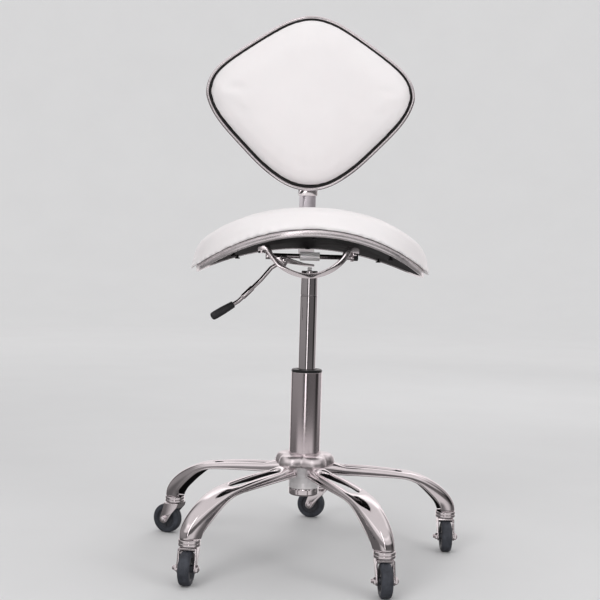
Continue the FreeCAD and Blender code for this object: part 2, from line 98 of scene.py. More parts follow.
def noise_tex(nt, vec, scale, detail=4.0, rough=0.55):
    n = N(nt, "ShaderNodeTexNoise")
    n.inputs["Scale"].default_value = scale
    n.inputs["Detail"].default_value = detail
    n.inputs["Roughness"].default_value = rough
    nt.links.new(vec, n.inputs["Vector"])
    return n.outputs["Fac"]


def ramp(nt, fac, stops):
    r = N(nt, "ShaderNodeValToRGB")
    els = r.color_ramp.elements
    while len(els) < len(stops):
        els.new(0.5)
    for e, (p, c) in zip(els, stops):
        e.position = p
        e.color = (c, c, c, 1) if not isinstance(c, tuple) else (*c, 1)
    nt.links.new(fac, r.inputs[0])
    return r.outputs[0]


def bump(nt, height, b, strength, distance, normal=None):
    n = N(nt, "ShaderNodeBump")
    n.inputs["Strength"].default_value = strength
    n.inputs["Distance"].default_value = distance
    nt.links.new(height, n.inputs["Height"])
    if normal is not None:
        nt.links.new(normal, n.inputs["Normal"])
    if b is not None:
        nt.links.new(n.outputs[0], b.inputs["Normal"])
    return n.outputs[0]


def chrome_mat(name, base=(0.86, 0.865, 0.875), r0=0.045, r1=0.13, streak=(1, 1, 1)):
    """Polished plate: faint polishing swirls, smudges in the roughness, a little orange peel."""
    m, nt, b = new_mat(name)
    b.inputs["Metallic"].default_value = 1.0
    v = coords(nt, streak)
    smudge = noise_tex(nt, v, 22.0, 5.0, 0.6)
    fine = noise_tex(nt, v, 900.0, 2.0, 0.5)
    col = ramp(nt, smudge, [(0.25, tuple(c * 0.93 for c in base)), (0.7, base)])
    nt.links.new(col, b.inputs["Base Color"])
    rr = ramp(nt, smudge, [(0.3, r0), (0.75, r1)])
    nt.links.new(rr, b.inputs["Roughness"])
    n1 = bump(nt, fine, None, 0.04, 0.0002)
    wav = noise_tex(nt, v, 60.0, 1.0, 0.4)
    bump(nt, wav, b, 0.05, 0.0008, n1)
    return m


def steel_mat(name, base=(0.55, 0.56, 0.58)):
    m, nt, b = new_mat(name)
    b.inputs["Metallic"].default_value = 1.0
    v = coords(nt, (1, 1, 1))
    blotch = noise_tex(nt, v, 60.0, 5.0, 0.65)
    nt.links.new(ramp(nt, blotch, [(0.3, tuple(c * 0.75 for c in base)), (0.7, base)]), b.inputs["Base Color"])
    nt.links.new(ramp(nt, blotch, [(0.3, 0.28), (0.7, 0.45)]), b.inputs["Roughness"])
    bump(nt, noise_tex(nt, v, 1200.0, 2.0), b, 0.12, 0.0002)
    return m


def plastic_mat(name, base, r=(0.35, 0.55), grain=1400.0, strength=0.25, coat=0.0):
    m, nt, b = new_mat(name)
    v = coords(nt)
    big = noise_tex(nt, v, 35.0, 4.0, 0.6)
    nt.links.new(ramp(nt, big, [(0.3, tuple(c * 0.8 for c in base)), (0.75, tuple(min(1, c * 1.25) for c in base))]), b.inputs["Base Color"])
    nt.links.new(ramp(nt, big, [(0.3, r[0]), (0.7, r[1])]), b.inputs["Roughness"])
    vor = N(nt, "ShaderNodeTexVoronoi")
    vor.inputs["Scale"].default_value = grain
    nt.links.new(v, vor.inputs["Vector"])
    bump(nt, vor.outputs["Distance"], b, strength, 0.0003)
    if coat:
        b.inputs["Coat Weight"].default_value = coat
        b.inputs["Coat Roughness"].default_value = 0.2
    return m


def rubber_mat(name, base):
    m, nt, b = new_mat(name)
    v = coords(nt)
    dust = noise_tex(nt, v, 70.0, 6.0, 0.7)
    nt.links.new(ramp(nt, dust, [(0.35, base), (0.72, tuple(c * 1.9 + 0.015 for c in base))]), b.inputs["Base Color"])
    nt.links.new(ramp(nt, dust, [(0.3, 0.42), (0.7, 0.62)]), b.inputs["Roughness"])
    bump(nt, noise_tex(nt, v, 700.0, 4.0, 0.7), b, 0.25, 0.0004)
    b.inputs["Specular IOR Level"].default_value = 0.4
    return m


def vinyl_mat(name, base=(0.86, 0.855, 0.85)):
    """Smooth upholstery vinyl: fine pebble grain, slight tone change, a soft gloss."""
    m, nt, b = new_mat(name)
    v = coords(nt)
    tone = noise_tex(nt, v, 9.0, 4.0, 0.55)
    nt.links.new(ramp(nt, tone, [(0.3, tuple(c * 0.955 for c in base)), (0.7, base)]), b.inputs["Base Color"])
    nt.links.new(ramp(nt, noise_tex(nt, v, 55.0, 5.0, 0.6), [(0.3, 0.33), (0.75, 0.46)]), b.inputs["Roughness"])
    vor = N(nt, "ShaderNodeTexVoronoi", feature="SMOOTH_F1")
    vor.inputs["Scale"].default_value = 760.0
    nt.links.new(v, vor.inputs["Vector"])
    n1 = bump(nt, vor.outputs["Distance"], None, 0.20, 0.00035)
    bump(nt, noise_tex(nt, v, 120.0, 5.0, 0.6), b, 0.10, 0.0006, n1)
    b.inputs["Coat Weight"].default_value = 0.18
    b.inputs["Coat Roughness"].default_value = 0.28
    b.inputs["Sheen Weight"].default_value = 0.06
    b.inputs["Subsurface Weight"].default_value = 0.03
    b.inputs["Subsurface Radius"].default_value = (0.004, 0.003, 0.003)
    return m


def satin_mat(name, base=(0.96, 0.93, 0.935)):
    """Bright die-cast metal: half polished, half milky."""
    m, nt, b = new_mat(name)
    b.inputs["Metallic"].default_value = 0.38
    v = coords(nt)
    blotch = noise_tex(nt, v, 30.0, 4.0, 0.6)
    nt.links.new(ramp(nt, blotch, [(0.3, tuple(c * 0.92 for c in base)), (0.7, base)]), b.inputs["Base Color"])
    nt.links.new(ramp(nt, blotch, [(0.3, 0.16), (0.7, 0.28)]), b.inputs["Roughness"])
    bump(nt, noise_tex(nt, v, 700.0, 2.0), b, 0.05, 0.0002)
    return m


def wood_mat(name):
    m, nt, b = new_mat(name)
    v = coords(nt, (1, 1, 14))
    w = N(nt, "ShaderNodeTexWave", wave_type="BANDS", bands_direction="Z")
    w.inputs["Scale"].default_value = 18.0
    w.inputs["Distortion"].default_value = 3.0
    w.inputs["Detail"].default_value = 4.0
    nt.links.new(v, w.inputs["Vector"])
    nt.links.new(ramp(nt, w.outputs["Fac"], [(0.2, (0.30, 0.19, 0.10)), (0.8, (0.52, 0.37, 0.21))]), b.inputs["Base Color"])
    b.inputs["Roughness"].default_value = 0.6
    bump(nt, w.outputs["Fac"], b, 0.2, 0.0004)
    return m


CHROME = chrome_mat("chrome_plate", (0.89, 0.85, 0.862))
CHROME_LEG = chrome_mat("chrome_leg", (0.89, 0.85, 0.862), 0.06, 0.16)
CHROME_TUBE = chrome_mat("chrome_tube", (0.86, 0.83, 0.842), 0.04, 0.12, (1, 1, 0.2))
CHROME_OUTER = chrome_mat("chrome_outer_tube", (0.90, 0.83, 0.852), 0.14, 0.22, (1, 1, 0.2))
CHROME_HUB = chrome_mat("chrome_hub", (0.93, 0.885, 0.895), 0.26, 0.38)
CHROME_BAR = chrome_mat("chrome_bar", (0.62, 0.595, 0.63), 0.26, 0.42)
# near-black painted shade for the slots' turned-down edges and the inside of the leg shells
SHADE = plastic_mat("painted_shade_inside", (0.012, 0.011, 0.012), (0.6, 0.8), 600.0, 0.2)
SHADE.node_tree.nodes["Principled BSDF"].inputs["Specular IOR Level"].default_value = 0.10
CHROME_STRAP = chrome_mat("chrome_strap", (0.87, 0.83, 0.842), 0.09, 0.20)
STEEL = steel_mat("zinc_steel")
SATIN = satin_mat("die_cast_bright")
BAND = satin_mat("plated_band", (0.95, 0.905, 0.915))
BAND.node_tree.nodes["Principled BSDF"].inputs["Metallic"].default_value = 0.84
BLACK = plastic_mat("black_plastic", (0.022, 0.022, 0.024))
BLACK_RING = plastic_mat("black_bush", (0.012, 0.012, 0.013), (0.25, 0.4))
BOARD = plastic_mat("black_board", (0.006, 0.0056, 0.006), (0.60, 0.75), 900.0, 0.12)
BOARD.node_tree.nodes["Principled BSDF"].inputs["Specular IOR Level"].default_value = 0.06
SCREW_DARK = steel_mat("dark_screw", (0.10, 0.10, 0.105))
BACKCLOTH = plastic_mat("black_back_vinyl", (0.024, 0.023, 0.024), (0.38, 0.55), 620.0, 0.5)
TYRE = rubber_mat("slate_rubber", (0.026, 0.029, 0.037))
WHEEL = plastic_mat("slate_wheel", (0.032, 0.035, 0.043), (0.30, 0.45), 1500.0, 0.12)
VINYL = vinyl_mat("white_vinyl", (0.905, 0.868, 0.870))
PLY = wood_mat("plywood_edge")
WELT = plastic_mat("black_welt", (0.012, 0.012, 0.012), (0.40, 0.6), 500.0, 0.4)


# ------------------------------------------------------------------ mesh helpers
def obj_from(name, verts, faces, mat, angle=32.0):
    me = bpy.data.meshes.new(name)
    me.from_pydata([tuple(float(c) for c in v) for v in verts], [], [tuple(f) for f in faces])
    me.validate()
    me.update()
    bm = bmesh.new()
    bm.from_mesh(me)
    bmesh.ops.recalc_face_normals(bm, faces=bm.faces)
    bm.to_mesh(me)
    bm.free()
    me.materials.append(mat)
    me.shade_smooth()
    if angle is not None:
        me.set_sharp_from_angle(angle=math.radians(angle))
    ob = bpy.data.objects.new(name, me)
    SC.collection.objects.link(ob)
    return ob


def apply_mods(ob):
    dg = bpy.context.evaluated_depsgraph_get()
    ev = ob.evaluated_get(dg)
    me = bpy.data.meshes.new_from_object(ev, preserve_all_data_layers=True, depsgraph=dg)
    old = ob.data
    ob.modifiers.clear()
    ob.data = me
    me.name = ob.name
    if old.users == 0:
        bpy.data.meshes.remove(old)
    return ob


def place(ob, body, slot, *replaced):
    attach(ob, body)
    if replaced:
        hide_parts(*replaced)
    return ob


def round_profile(pts, radii, n=4, closed=True):
    """Rounds the corners of an (a, b) polygon; radii is one number or one per corner."""
    m = len(pts)
    rs = radii if isinstance(radii, (list, tuple)) else [radii] * m
    out = []
    for i in range(m):
        p = np.array(pts[i], float)
        r = rs[i]
        if r <= 0 or (not closed and i in (0, m - 1)):
            out.append(tuple(p))
            continue
        a = np.array(pts[i - 1], float) - p
        b = np.array(pts[(i + 1) % m], float) - p
        la, lb = np.linalg.norm(a), np.linalg.norm(b)
        a, b = a / la, b / lb
        ang = math.acos(max(-1, min(1, float(a @ b))))
        if ang > math.radians(176):
            out.append(tuple(p))
            continue
        t = min(r / math.tan(ang / 2), 0.48 * la, 0.48 * lb)
        rr = t * math.tan(ang / 2)
        c = p + (a + b) / np.linalg.norm(a + b) * (rr / math.sin(ang / 2))
        s, e = p + a * t, p + b * t
        v0, v1 = s - c, e - c
        w = math.acos(max(-1, min(1, float(v0 @ v1) / (rr * rr))))
        for k in range(n + 1):
            f = k / n
            if w < 1e-6:
                out.append(tuple(s))
                continue
            q = (math.sin((1 - f) * w) * v0 + math.sin(f * w) * v1) / math.sin(w)
            out.append(tuple(c + q))
    return out


def lathe_mesh(profile, segs=96, closed=True):
    """profile of (r, z) in mm; closed loops make a ring, open ones may end on the axis."""
    verts, faces = [], []
    rows = []
    for r, z in profile:
        if r < 1e-6:
            rows.append([len(verts)])
            verts.append((0, 0, z))
        else:
            rows.append(list(range(len(verts), len(verts) + segs)))
            for k in range(segs):
                a = 2 * math.pi * k / segs
                verts.append((r * math.cos(a), r * math.sin(a), z))
    pairs = list(zip(rows, rows[1:])) + ([(rows[-1], rows[0])] if closed else [])
    for A, B in pairs:
        if len(A) == 1 and len(B) == 1:
            continue
        for k in range(segs):
            k2 = (k + 1) % segs
            if len(A) == 1:
                faces.append((A[0], B[k2], B[k]))
            elif len(B) == 1:
                faces.append((A[k], A[k2], B[0]))
            else:
                faces.append((A[k], A[k2], B[k2], B[k]))
    return np.array(verts, float), faces


def xf(verts, rot=None, at=(0, 0, 0)):
    v = np.array(verts, float)
    if rot is not None:
        v = v @ np.array(rot, float).T
    return (v + np.array(at, float)) * MM


def rz(deg):
    a = math.radians(deg)
    return np.array([[math.cos(a), -math.sin(a), 0], [math.sin(a), math.cos(a), 0], [0, 0, 1]])


def axis_rot(d):
    """Rotation taking +Z to direction d."""
    return np.array(Vector(d).normalized().to_track_quat("Z", "Y").to_matrix())


def merge(*parts):
    V, F, off = [], [], 0
    for v, f in parts:
        V.append(np.array(v, float))
        F += [tuple(i + off for i in q) for q in f]
        off += len(v)
    return np.vstack(V), F


def lathe_obj(name, profile, mat, body, slot, replaced=(), segs=96, closed=True, rot=None, at=(0, 0, 0), angle=32):
    v, f = lathe_mesh(profile, segs, closed)
    return place(obj_from(name, xf(v, rot, at), f, mat, angle), body, slot, *replaced)


def frames_along(pts):
    """Parallel-transported frames along a polyline."""
    pts = np.array(pts, float)
    t = np.gradient(pts, axis=0)
    t /= np.linalg.norm(t, axis=1)[:, None]
    u = np.cross(t[0], [0.0, 1.0, 0.0])
    if np.linalg.norm(u) < 1e-3:
        u = np.cross(t[0], [1.0, 0, 0])
    u /= np.linalg.norm(u)
    U = [u]
    for i in range(1, len(pts)):
        u = U[-1] - t[i] * (U[-1] @ t[i])
        U.append(u / np.linalg.norm(u))
    U = np.array(U)
    return t, U, np.cross(t, U)


def catmull(points, n=12):
    P = [np.array(p, float) for p in points]
    P = [2 * P[0] - P[1]] + P + [2 * P[-1] - P[-2]]
    out = []
    for i in range(1, len(P) - 2):
        for k in range(n):
            t = k / n
            out.append(0.5 * ((2 * P[i]) + (-P[i - 1] + P[i + 1]) * t + (2 * P[i - 1] - 5 * P[i] + 4 * P[i + 1] - P[i + 2]) * t * t
                              + (-P[i - 1] + 3 * P[i] - 3 * P[i + 1] + P[i + 2]) * t ** 3))
    out.append(P[-2])
    return np.array(out)


def tube_mesh(pts, radii, segs=28, cap=True, flat=1.0):
    pts = np.array(pts, float)
    t, U, W = frames_along(pts)
    verts, faces = [], []
    n = len(pts)
    for i in range(n):
        r = radii[i] if hasattr(radii, "__len__") else radii
        for k in range(segs):
            a = 2 * math.pi * k / segs
            verts.append(pts[i] + U[i] * r * math.cos(a) + W[i] * r * math.sin(a) * flat)
    for i in range(n - 1):
        for k in range(segs):
            k2 = (k + 1) % segs
            faces.append((i * segs + k, i * segs + k2, (i + 1) * segs + k2, (i + 1) * segs + k))
    if cap:
        verts += [pts[0], pts[-1]]
        for k in range(segs):
            k2 = (k + 1) % segs
            faces.append((n * segs, k2, k))
            faces.append((n * segs + 1, (n - 1) * segs + k, (n - 1) * segs + k2))
    return np.array(verts), faces


def sweep_closed(rings):
    """rings: list of equal-length closed loops, joined in a closed circuit."""
    m = len(rings[0])
    verts = np.vstack([np.array(r, float) for r in rings])
    faces = []
    n = len(rings)
    for i in range(n):
        j = (i + 1) % n
        for k in range(m):
            k2 = (k + 1) % m
            faces.append((i * m + k, i * m + k2, j * m + k2, j * m + k))
    return verts, faces


def refine(node, mat, body, slot, bevel=0.5, angle=28.0, segments=2, name=None, merge_d=2e-6):
    """A finished copy of a CAD node: planar faces merged, edges broken with a small radius."""
    src = NODES[node]
    me = src.data.copy()
    me.name = node + "_fine"
    bm = bmesh.new()
    bm.from_mesh(me)
    bmesh.ops.remove_doubles(bm, verts=bm.verts, dist=merge_d)
    bmesh.ops.dissolve_limit(bm, angle_limit=math.radians(0.6), verts=bm.verts, edges=bm.edges)
    bm.to_mesh(me)
    bm.free()
    for a in list(me.attributes):
        if a.name in ("custom_normal",):
            me.attributes.remove(a)
    me.materials.clear()
    me.materials.append(mat)
    ob = bpy.data.objects.new((name or node) + "_fine", me)
    SC.collection.objects.link(ob)
    if bevel:
        md = ob.modifiers.new("bevel", "BEVEL")
        md.width = bevel * MM
        md.segments = segments
        md.limit_method = "ANGLE"
        md.angle_limit = math.radians(angle)
        md.use_clamp_overlap = True
        md.miter_outer = "MITER_ARC"
        apply_mods(ob)
    ob.data.shade_smooth()
    ob.data.set_sharp_from_angle(angle=math.radians(35))
    return place(ob, body, slot, node)


def polar(r, deg):
    return r * math.cos(math.radians(deg)), r * math.sin(math.radians(deg))


# ------------------------------------------------------------------ camera
YAW = math.radians(2.1)
PITCH = math.radians(2.3)
ROLL = math.radians(1.65)
right = Vector((math.cos(YAW), -math.sin(YAW), 0))
fwd = Vector((math.sin(YAW) * math.cos(PITCH), math.cos(YAW) * math.cos(PITCH), -math.sin(PITCH)))
up = right.cross(fwd)
r2 = right * math.cos(ROLL) + up * math.sin(ROLL)
u2 = up * math.cos(ROLL) - right * math.sin(ROLL)
cam_data = bpy.data.cameras.new("camera")
cam = bpy.data.objects.new("camera", cam_data)
SC.collection.objects.link(cam)
M = Matrix.Identity(4)
for i in range(3):
    M[i][0], M[i][1], M[i][2] = r2[i], u2[i], -fwd[i]
M[0][3], M[1][3], M[2][3] = -1.750 * math.sin(YAW), -1.750 * math.cos(YAW), 0.483
cam.matrix_world = M
cam_data.sensor_width = 36.0
cam_data.lens = 1083.0 / 600.0 * 36.0
cam_data.shift_x = -8.85 / 600.0
cam_data.clip_end = 100
SC.camera = cam


# ------------------------------------------------------------------ seat surfaces
def z_rim(x, y):
    zc = 504.0 - 0.0463 * y
    r = 350.0 + 0.38 * y
    return zc - (r - math.sqrt(max(r * r - x * x, 1.0)))


def plan_point(theta, scale=1.0, dx=0.0):
    """Point and outward normal of the seat's plan outline; dx grows it outward in mm."""
    c, s = math.cos(theta), math.sin(theta)
    r = (abs(c) ** SEAT_N + abs(s) ** SEAT_N) ** (-1.0 / SEAT_N)
    x, y = SEAT_HX * r * c, SEAT_HY * r * s
    nx = math.copysign((abs(x) / SEAT_HX) ** (SEAT_N - 1) / SEAT_HX, x)
    ny = math.copysign((abs(y) / SEAT_HY) ** (SEAT_N - 1) / SEAT_HY, y)
    h = math.hypot(nx, ny)
    nx, ny = nx / h, ny / h
    return x * scale + nx * dx, SEAT_CY + y * scale + ny * dx, nx, ny


def even_thetas(m):
    """Angles that space the outline's points evenly along its length."""
    th = np.linspace(0, 2 * math.pi, 1441)
    pts = np.array([plan_point(t)[:2] for t in th])
    s = np.r_[0, np.cumsum(np.linalg.norm(np.diff(pts, axis=0), axis=1))]
    return np.interp(np.linspace(0, s[-1], m, endpoint=False), s, th)


# ------------------------------------------------------------------ cloth simulation
def simulate_pad(verts_mm, faces, pin_fn, cap_mm, voxel=0.005, pressure=4.0, frames=20, name="pad", shrink=0.0):
    """Fills a pad: voxel remesh, pressure cloth with its underside held, movement capped."""
    ob = obj_from(name, np.array(verts_mm) * MM, faces, VINYL, None)
    md = ob.modifiers.new("remesh", "REMESH")
    md.mode = "VOXEL"
    md.voxel_size = voxel
    md.use_smooth_shade = True
    apply_mods(ob)
    me = ob.data
    n = len(me.vertices)
    co0 = np.zeros(n * 3)
    me.vertices.foreach_get("co", co0)
    co0 = co0.reshape(-1, 3)
    vg = ob.vertex_groups.new(name="pin")
    w = np.array([pin_fn(p / MM) for p in co0])
    for lvl in np.linspace(0.1, 1.0, 10):
        idx = np.nonzero((w > lvl - 0.1) & (w <= lvl))[0]
        if len(idx):
            vg.add([int(i) for i in idx], float(lvl), "REPLACE")
    md = ob.modifiers.new("cloth", "CLOTH")
    st = md.settings
    st.quality = 5
    st.mass = 0.4
    st.tension_stiffness = 22
    st.compression_stiffness = 18
    st.shear_stiffness = 8
    st.bending_stiffness = 2.0
    st.tension_damping = 8
    st.compression_damping = 8
    st.use_pressure = True
    st.uniform_pressure_force = pressure
    st.vertex_group_mass = "pin"
    st.pin_stiffness = 1.0
    if shrink:
        st.shrink_min = shrink
    st.effector_weights.gravity = 0
    md.collision_settings.use_collision = False
    md.point_cache.frame_start = 1
    md.point_cache.frame_end = frames
    SC.frame_start, SC.frame_end = 1, frames
    for fr in range(1, frames + 1):
        SC.frame_set(fr)
    dg = bpy.context.evaluated_depsgraph_get()
    ev = ob.evaluated_get(dg)
    co1 = np.zeros(n * 3)
    ev.data.vertices.foreach_get("co", co1)
    co1 = co1.reshape(-1, 3)
    d = co1 - co0
    L = np.linalg.norm(d, axis=1)
    cap = cap_mm * MM
    k = np.where(L > 1e-9, np.minimum(L, cap * np.tanh(L / cap)) / np.maximum(L, 1e-9), 0)
    co = co0 + d * k[:, None] * (1 - w)[:, None]
    print("simulated", name, "verts", n, "mean move mm", round(float(L.mean() / MM), 2), "max", round(float(L.max() / MM), 2))
    ob.modifiers.clear()
    ob.vertex_groups.clear()
    me.vertices.foreach_set("co", co.ravel())
    me.update()
    SC.frame_set(1)
    return ob


def smooth_mesh(ob, it=3, lam=0.5, keep=None):
    """Plain Laplacian smoothing of the voxel steps; keep is not used."""
    me = ob.data
    n = len(me.vertices)
    co = np.zeros(n * 3)
    me.vertices.foreach_get("co", co)
    co = co.reshape(-1, 3)
    e = np.zeros(len(me.edges) * 2, int)
    me.edges.foreach_get("vertices", e)
    e = e.reshape(-1, 2)
    deg = np.bincount(e.ravel(), minlength=n).astype(float)
    for k in range(it):
        for l in (lam, -lam * 1.02):
            s = np.zeros_like(co)
            np.add.at(s, e[:, 0], co[e[:, 1]])
            np.add.at(s, e[:, 1], co[e[:, 0]])
            co = co + (s / deg[:, None] - co) * l
    me.vertices.foreach_set("co", co.ravel())
    me.update()


def subdivide(ob, levels=1):
    md = ob.modifiers.new("sub", "SUBSURF")
    md.levels = levels
    md.render_levels = levels
    md.subdivision_type = "CATMULL_CLARK"
    apply_mods(ob)
    ob.data.shade_smooth()


# ------------------------------------------------------------------ seat pad
PAD_PROFILE = ((0.0, 11.9), (0.35, 11.9), (0.65, 11.9), (0.85, 11.9), (0.945, 11.9), (0.985, 11.9), (1.006, 11.6), (1.028, 10.8), (1.046, 10.2), (1.056, 10.9),
               (1.060, 13.0), (1.049, 16.2), (1.035, 19.5), (1.030, 25.0), (1.017, 31.5), (0.996, 36.8), (0.958, 40.6), (0.905, 43.2), (0.84, 44.8), (0.75, 45.8),
               (0.65, 46.3), (0.5, 46.6), (0.35, 46.7), (0.18, 46.7), (0.0, 46.7))


def closed_polar(profile, m, place_fn):
    """A closed mesh from a profile whose first and last rows are single points."""
    verts, faces, rows = [], [], []
    for j, (rho, h) in enumerate(profile):
        if rho == 0.0:
            rows.append([len(verts)])
            verts.append(place_fn(None, 0.0, h))
        else:
            rows.append(list(range(len(verts), len(verts) + m)))
            for i in range(m):
                verts.append(place_fn(i, rho, h))
    for A, B in zip(rows, rows[1:]):
        for k in range(m):
            k2 = (k + 1) % m
            if len(A) == 1:
                faces.append((A[0], B[k], B[k2]))
            elif len(B) == 1:
                faces.append((A[k2], A[k], B[0]))
            else:
                faces.append((A[k], B[k], B[k2], A[k2]))
    return verts, faces


TH = even_thetas(168)
PLAN = [plan_point(t) for t in TH]


def seat_at(i, rho, h):
    if i is None:
        return (0.0, SEAT_CY, z_rim(0.0, SEAT_CY) + h)
    x, y, nx, ny = PLAN[i]
    if rho <= 1.0:
        px, py = x * rho, SEAT_CY + (y - SEAT_CY) * rho
        return (px, py, z_rim(px, py) + h + 3.0e-4 * px * px * min(1.0, max(0.0, (h - 14.0) / 22.0)))
    g = (rho - 1.0) * 180.0
    # the wall leans with the arch: the outward direction follows the surface's slope
    px, py = x + nx * g, y + ny * g
    return (px, py, z_rim(px, py) + h + 3.0e-4 * px * px * min(1.0, max(0.0, (h - 14.0) / 22.0)))


pv, pf = closed_polar(PAD_PROFILE, len(TH), seat_at)
seat_pad = simulate_pad(pv, pf, lambda p: 1.0 if p[2] < z_rim(p[0], p[1]) + 15.0 else max(0.0, 1.0 - (p[2] - z_rim(p[0], p[1]) - 15.0) / 10.0),
                        2.5, voxel=0.0045, pressure=3.0, name="seat_cushion")
smooth_mesh(seat_pad, 14)


def displace(ob, fn):
    me = ob.data
    n = len(me.vertices)
    co = np.zeros(n * 3)
    no = np.zeros(n * 3)
    me.vertices.foreach_get("co", co)
    me.vertex_normals.foreach_get("vector", no)
    co, no = co.reshape(-1, 3), no.reshape(-1, 3)
    d = np.array([fn(p / MM, q) for p, q in zip(co, no)])
    me.vertices.foreach_set("co", (co + no * d[:, None] * MM).ravel())
    me.update()


def seat_pucker(p, nrm):
    """Small gathers where the cover is pulled under the rim, and a very soft unevenness on top."""
    h = p[2] - z_rim(p[0], p[1])
    th = math.atan2((p[1] - SEAT_CY) / SEAT_HY, p[0] / SEAT_HX)
    low = math.exp(-((h - 15.0) / 7.0) ** 2)
    n1 = noise.noise(Vector((math.cos(th) * 9.0, math.sin(th) * 9.0, 0.3)))
    n2 = noise.noise(Vector((math.cos(th) * 38.0, math.sin(th) * 38.0, 4.3)))
    soft = noise.noise(Vector((p[0] * 0.012, p[1] * 0.012, 1.7)))
    return low * (0.35 * n2 * (0.5 + 0.8 * max(0.0, n1))) + 0.3 * soft * min(1.0, max(0.0, (h - 22.0) / 16.0))


displace(seat_pad, seat_pucker)
subdivide(seat_pad, 1)
place(seat_pad, "seat", "vinyl", "seat_pad")

# ------------------------------------------------------------------ seat trim band, welt and underside
TH2 = even_thetas(360)


def band_ring(theta, section):
    x, y, nx, ny = plan_point(theta)
    z = z_rim(x, y)
    return [(x + nx * o, y + ny * o, z_rim(x + nx * o * 0.3, y + ny * o * 0.3) * 0 + z + h) for o, h in section]


band_section = [(1.75 * math.cos(a) + 0.1, 5.25 + 5.25 * math.sin(a)) for a in np.radians(np.linspace(-90, 90, 19))] + \
    [(-1.3, 10.65), (-2.2, 10.5), (-2.35, 10.2), (-2.35, 0.5), (-2.1, 0.1), (-1.2, -0.05)]
v, f = sweep_closed([band_ring(t, band_section) for t in TH2])
place(obj_from("seat_band", np.array(v) * MM, f, BAND, 50), "seat", "chrome", "seat_trim_band")

# thin black piping that fills the groove between the band and the cushion; its black is painted shade for the shadow
# line in the groove
pip = [(-1.0 + 1.5 * math.cos(a), 11.6 + 0.85 * math.sin(a)) for a in np.linspace(0, 2 * math.pi, 10, endpoint=False)]
v, f = sweep_closed([band_ring(t, pip) for t in TH2])
place(obj_from("seat_groove_shade_piping", np.array(v) * MM, f, WELT, 60), "seat", "black_board")


def pan_mesh(h0, h1, inset, thetas, rings=18, lip=0.0):
    """The curved pan: lower surface h0 and upper surface h1 above the rim's lower edge."""
    prof = []
    R = [0.0] + [((k + 1) / rings) for k in range(rings)]
    for r in R:
        prof.append((r, h0))
    prof[-1] = (1.0, h0 + lip)
    for r in reversed(R):
        prof.append((r, h1))

    P2 = [plan_point(t, 1.0, -inset) for t in thetas]

    def at(i, rho, h):
        if i is None:
            return (0.0, SEAT_CY, z_rim(0.0, SEAT_CY) + h)
        x, y = P2[i][0] * rho, SEAT_CY + (P2[i][1] - SEAT_CY) * rho
        return (x, y, z_rim(x, y) + h)
    return closed_polar(prof, len(thetas), at)


v, f = pan_mesh(1.02, 4.0, 2.45, even_thetas(160), 26, 0.5)
place(obj_from("seat_underside", np.array(v) * MM, f, BOARD, 40), "seat", "black_board", "seat_pan")
for o in (NODES["seat_board"],):
    o.data.materials.clear()
    o.data.materials.append(PLY)

# ------------------------------------------------------------------ backrest
OUT = [np.array(p, float) for p in BACK_OUTLINE]
loop = OUT + [np.array((-p[0], p[1])) for p in reversed(OUT[1:-1])]


def closed_catmull(points, n=16):
    P = [np.array(p, float) for p in points]
    m = len(P)
    out = []
    for i in range(m):
        a, b, c, d = P[i - 1], P[i], P[(i + 1) % m], P[(i + 2) % m]
        for k in range(n):
            t = k / n
            out.append(0.5 * ((2 * b) + (-a + c) * t + (2 * a - 5 * b + 4 * c - d) * t * t + (-a + 3 * b - 3 * c + d) * t ** 3))
    return np.array(out)


dense = closed_catmull(loop)
for _ in range(60):  # fair the outline
    dense = dense * 0.5 + 0.25 * (np.roll(dense, 1, 0) + np.roll(dense, -1, 0))
seg = np.linalg.norm(np.roll(dense, -1, 0) - dense, axis=1)
s_all = np.r_[0, np.cumsum(seg)]
NB = 240
closed = np.vstack([dense, dense[:1]])
ss = np.linspace(0, s_all[-1], NB, endpoint=False)
BACK = np.c_[np.interp(ss, s_all, closed[:, 0]), np.interp(ss, s_all, closed[:, 1])]
tan = np.roll(BACK, -1, 0) - np.roll(BACK, 1, 0)
tan /= np.linalg.norm(tan, axis=1)[:, None]
BACK_N = np.c_[tan[:, 1], -tan[:, 0]]
BC = np.array((0.0, 762.0))
if ((BACK - BC) * BACK_N).sum() < 0:
    BACK_N = -BACK_N


def back_loop(offset, rho=1.0):
    return BC + (BACK - BACK_N * offset - BC) * rho


def back_ring(section):
    """section of (inset from the outline, y)."""
    loops = []
    for i in range(NB):
        loops.append([(BACK[i, 0] - BACK_N[i, 0] * o, y, BACK[i, 1] - BACK_N[i, 1] * o) for o, y in section])
    return sweep_closed(loops)


trim_sec = [(0.35, 196.75), (1.2, 197.0), (4.7, 197.0), (5.0, 196.7)] + \
    [(2.85 + 3.05 * math.cos(a), 186.6 - 4.2 * math.sin(a)) for a in np.radians(np.linspace(0, 180, 17))] + [(-0.15, 189.0), (0.0, 193.0), (0.0, 196.3)]
v, f = back_ring(trim_sec)
place(obj_from("back_trim", np.array(v) * MM, f, CHROME, 50), "backrest", "chrome", "backrest_trim")


def back_closed(profile, inset):
    base = back_loop(inset)

    def at(i, rho, y):
        if i is None:
            return (BC[0], y, BC[1])
        p = BC + (base[i] - BC) * rho
        return (p[0], y, p[1])
    return closed_polar(profile, NB, at)


board_prof = [(0.0, 187.3), (0.5, 187.3), (0.93, 187.3), (0.99, 187.6), (1.0, 188.6), (1.0, 195.2), (0.997, 196.2), (0.99, 196.8), (0.96, 197.0), (0.9, 197.0), (0.6, 197.0), (0.3, 197.0), (0.0, 197.0)]
v, f = back_closed(board_prof, 5.05)
place(obj_from("back_panel", np.array(v) * MM, f, BACKCLOTH, 40), "backrest", "black_board", "backrest_board")

# black welt cord between the chrome and the cushion
welt = [(8.0 + 2.05 * math.cos(a), 186.4 + 2.0 * math.sin(a)) for a in np.linspace(0, 2 * math.pi, 14, endpoint=False)]
v, f = back_ring(welt)
place(obj_from("back_welt", np.array(v) * MM, f, WELT, 60), "backrest", "black_board")

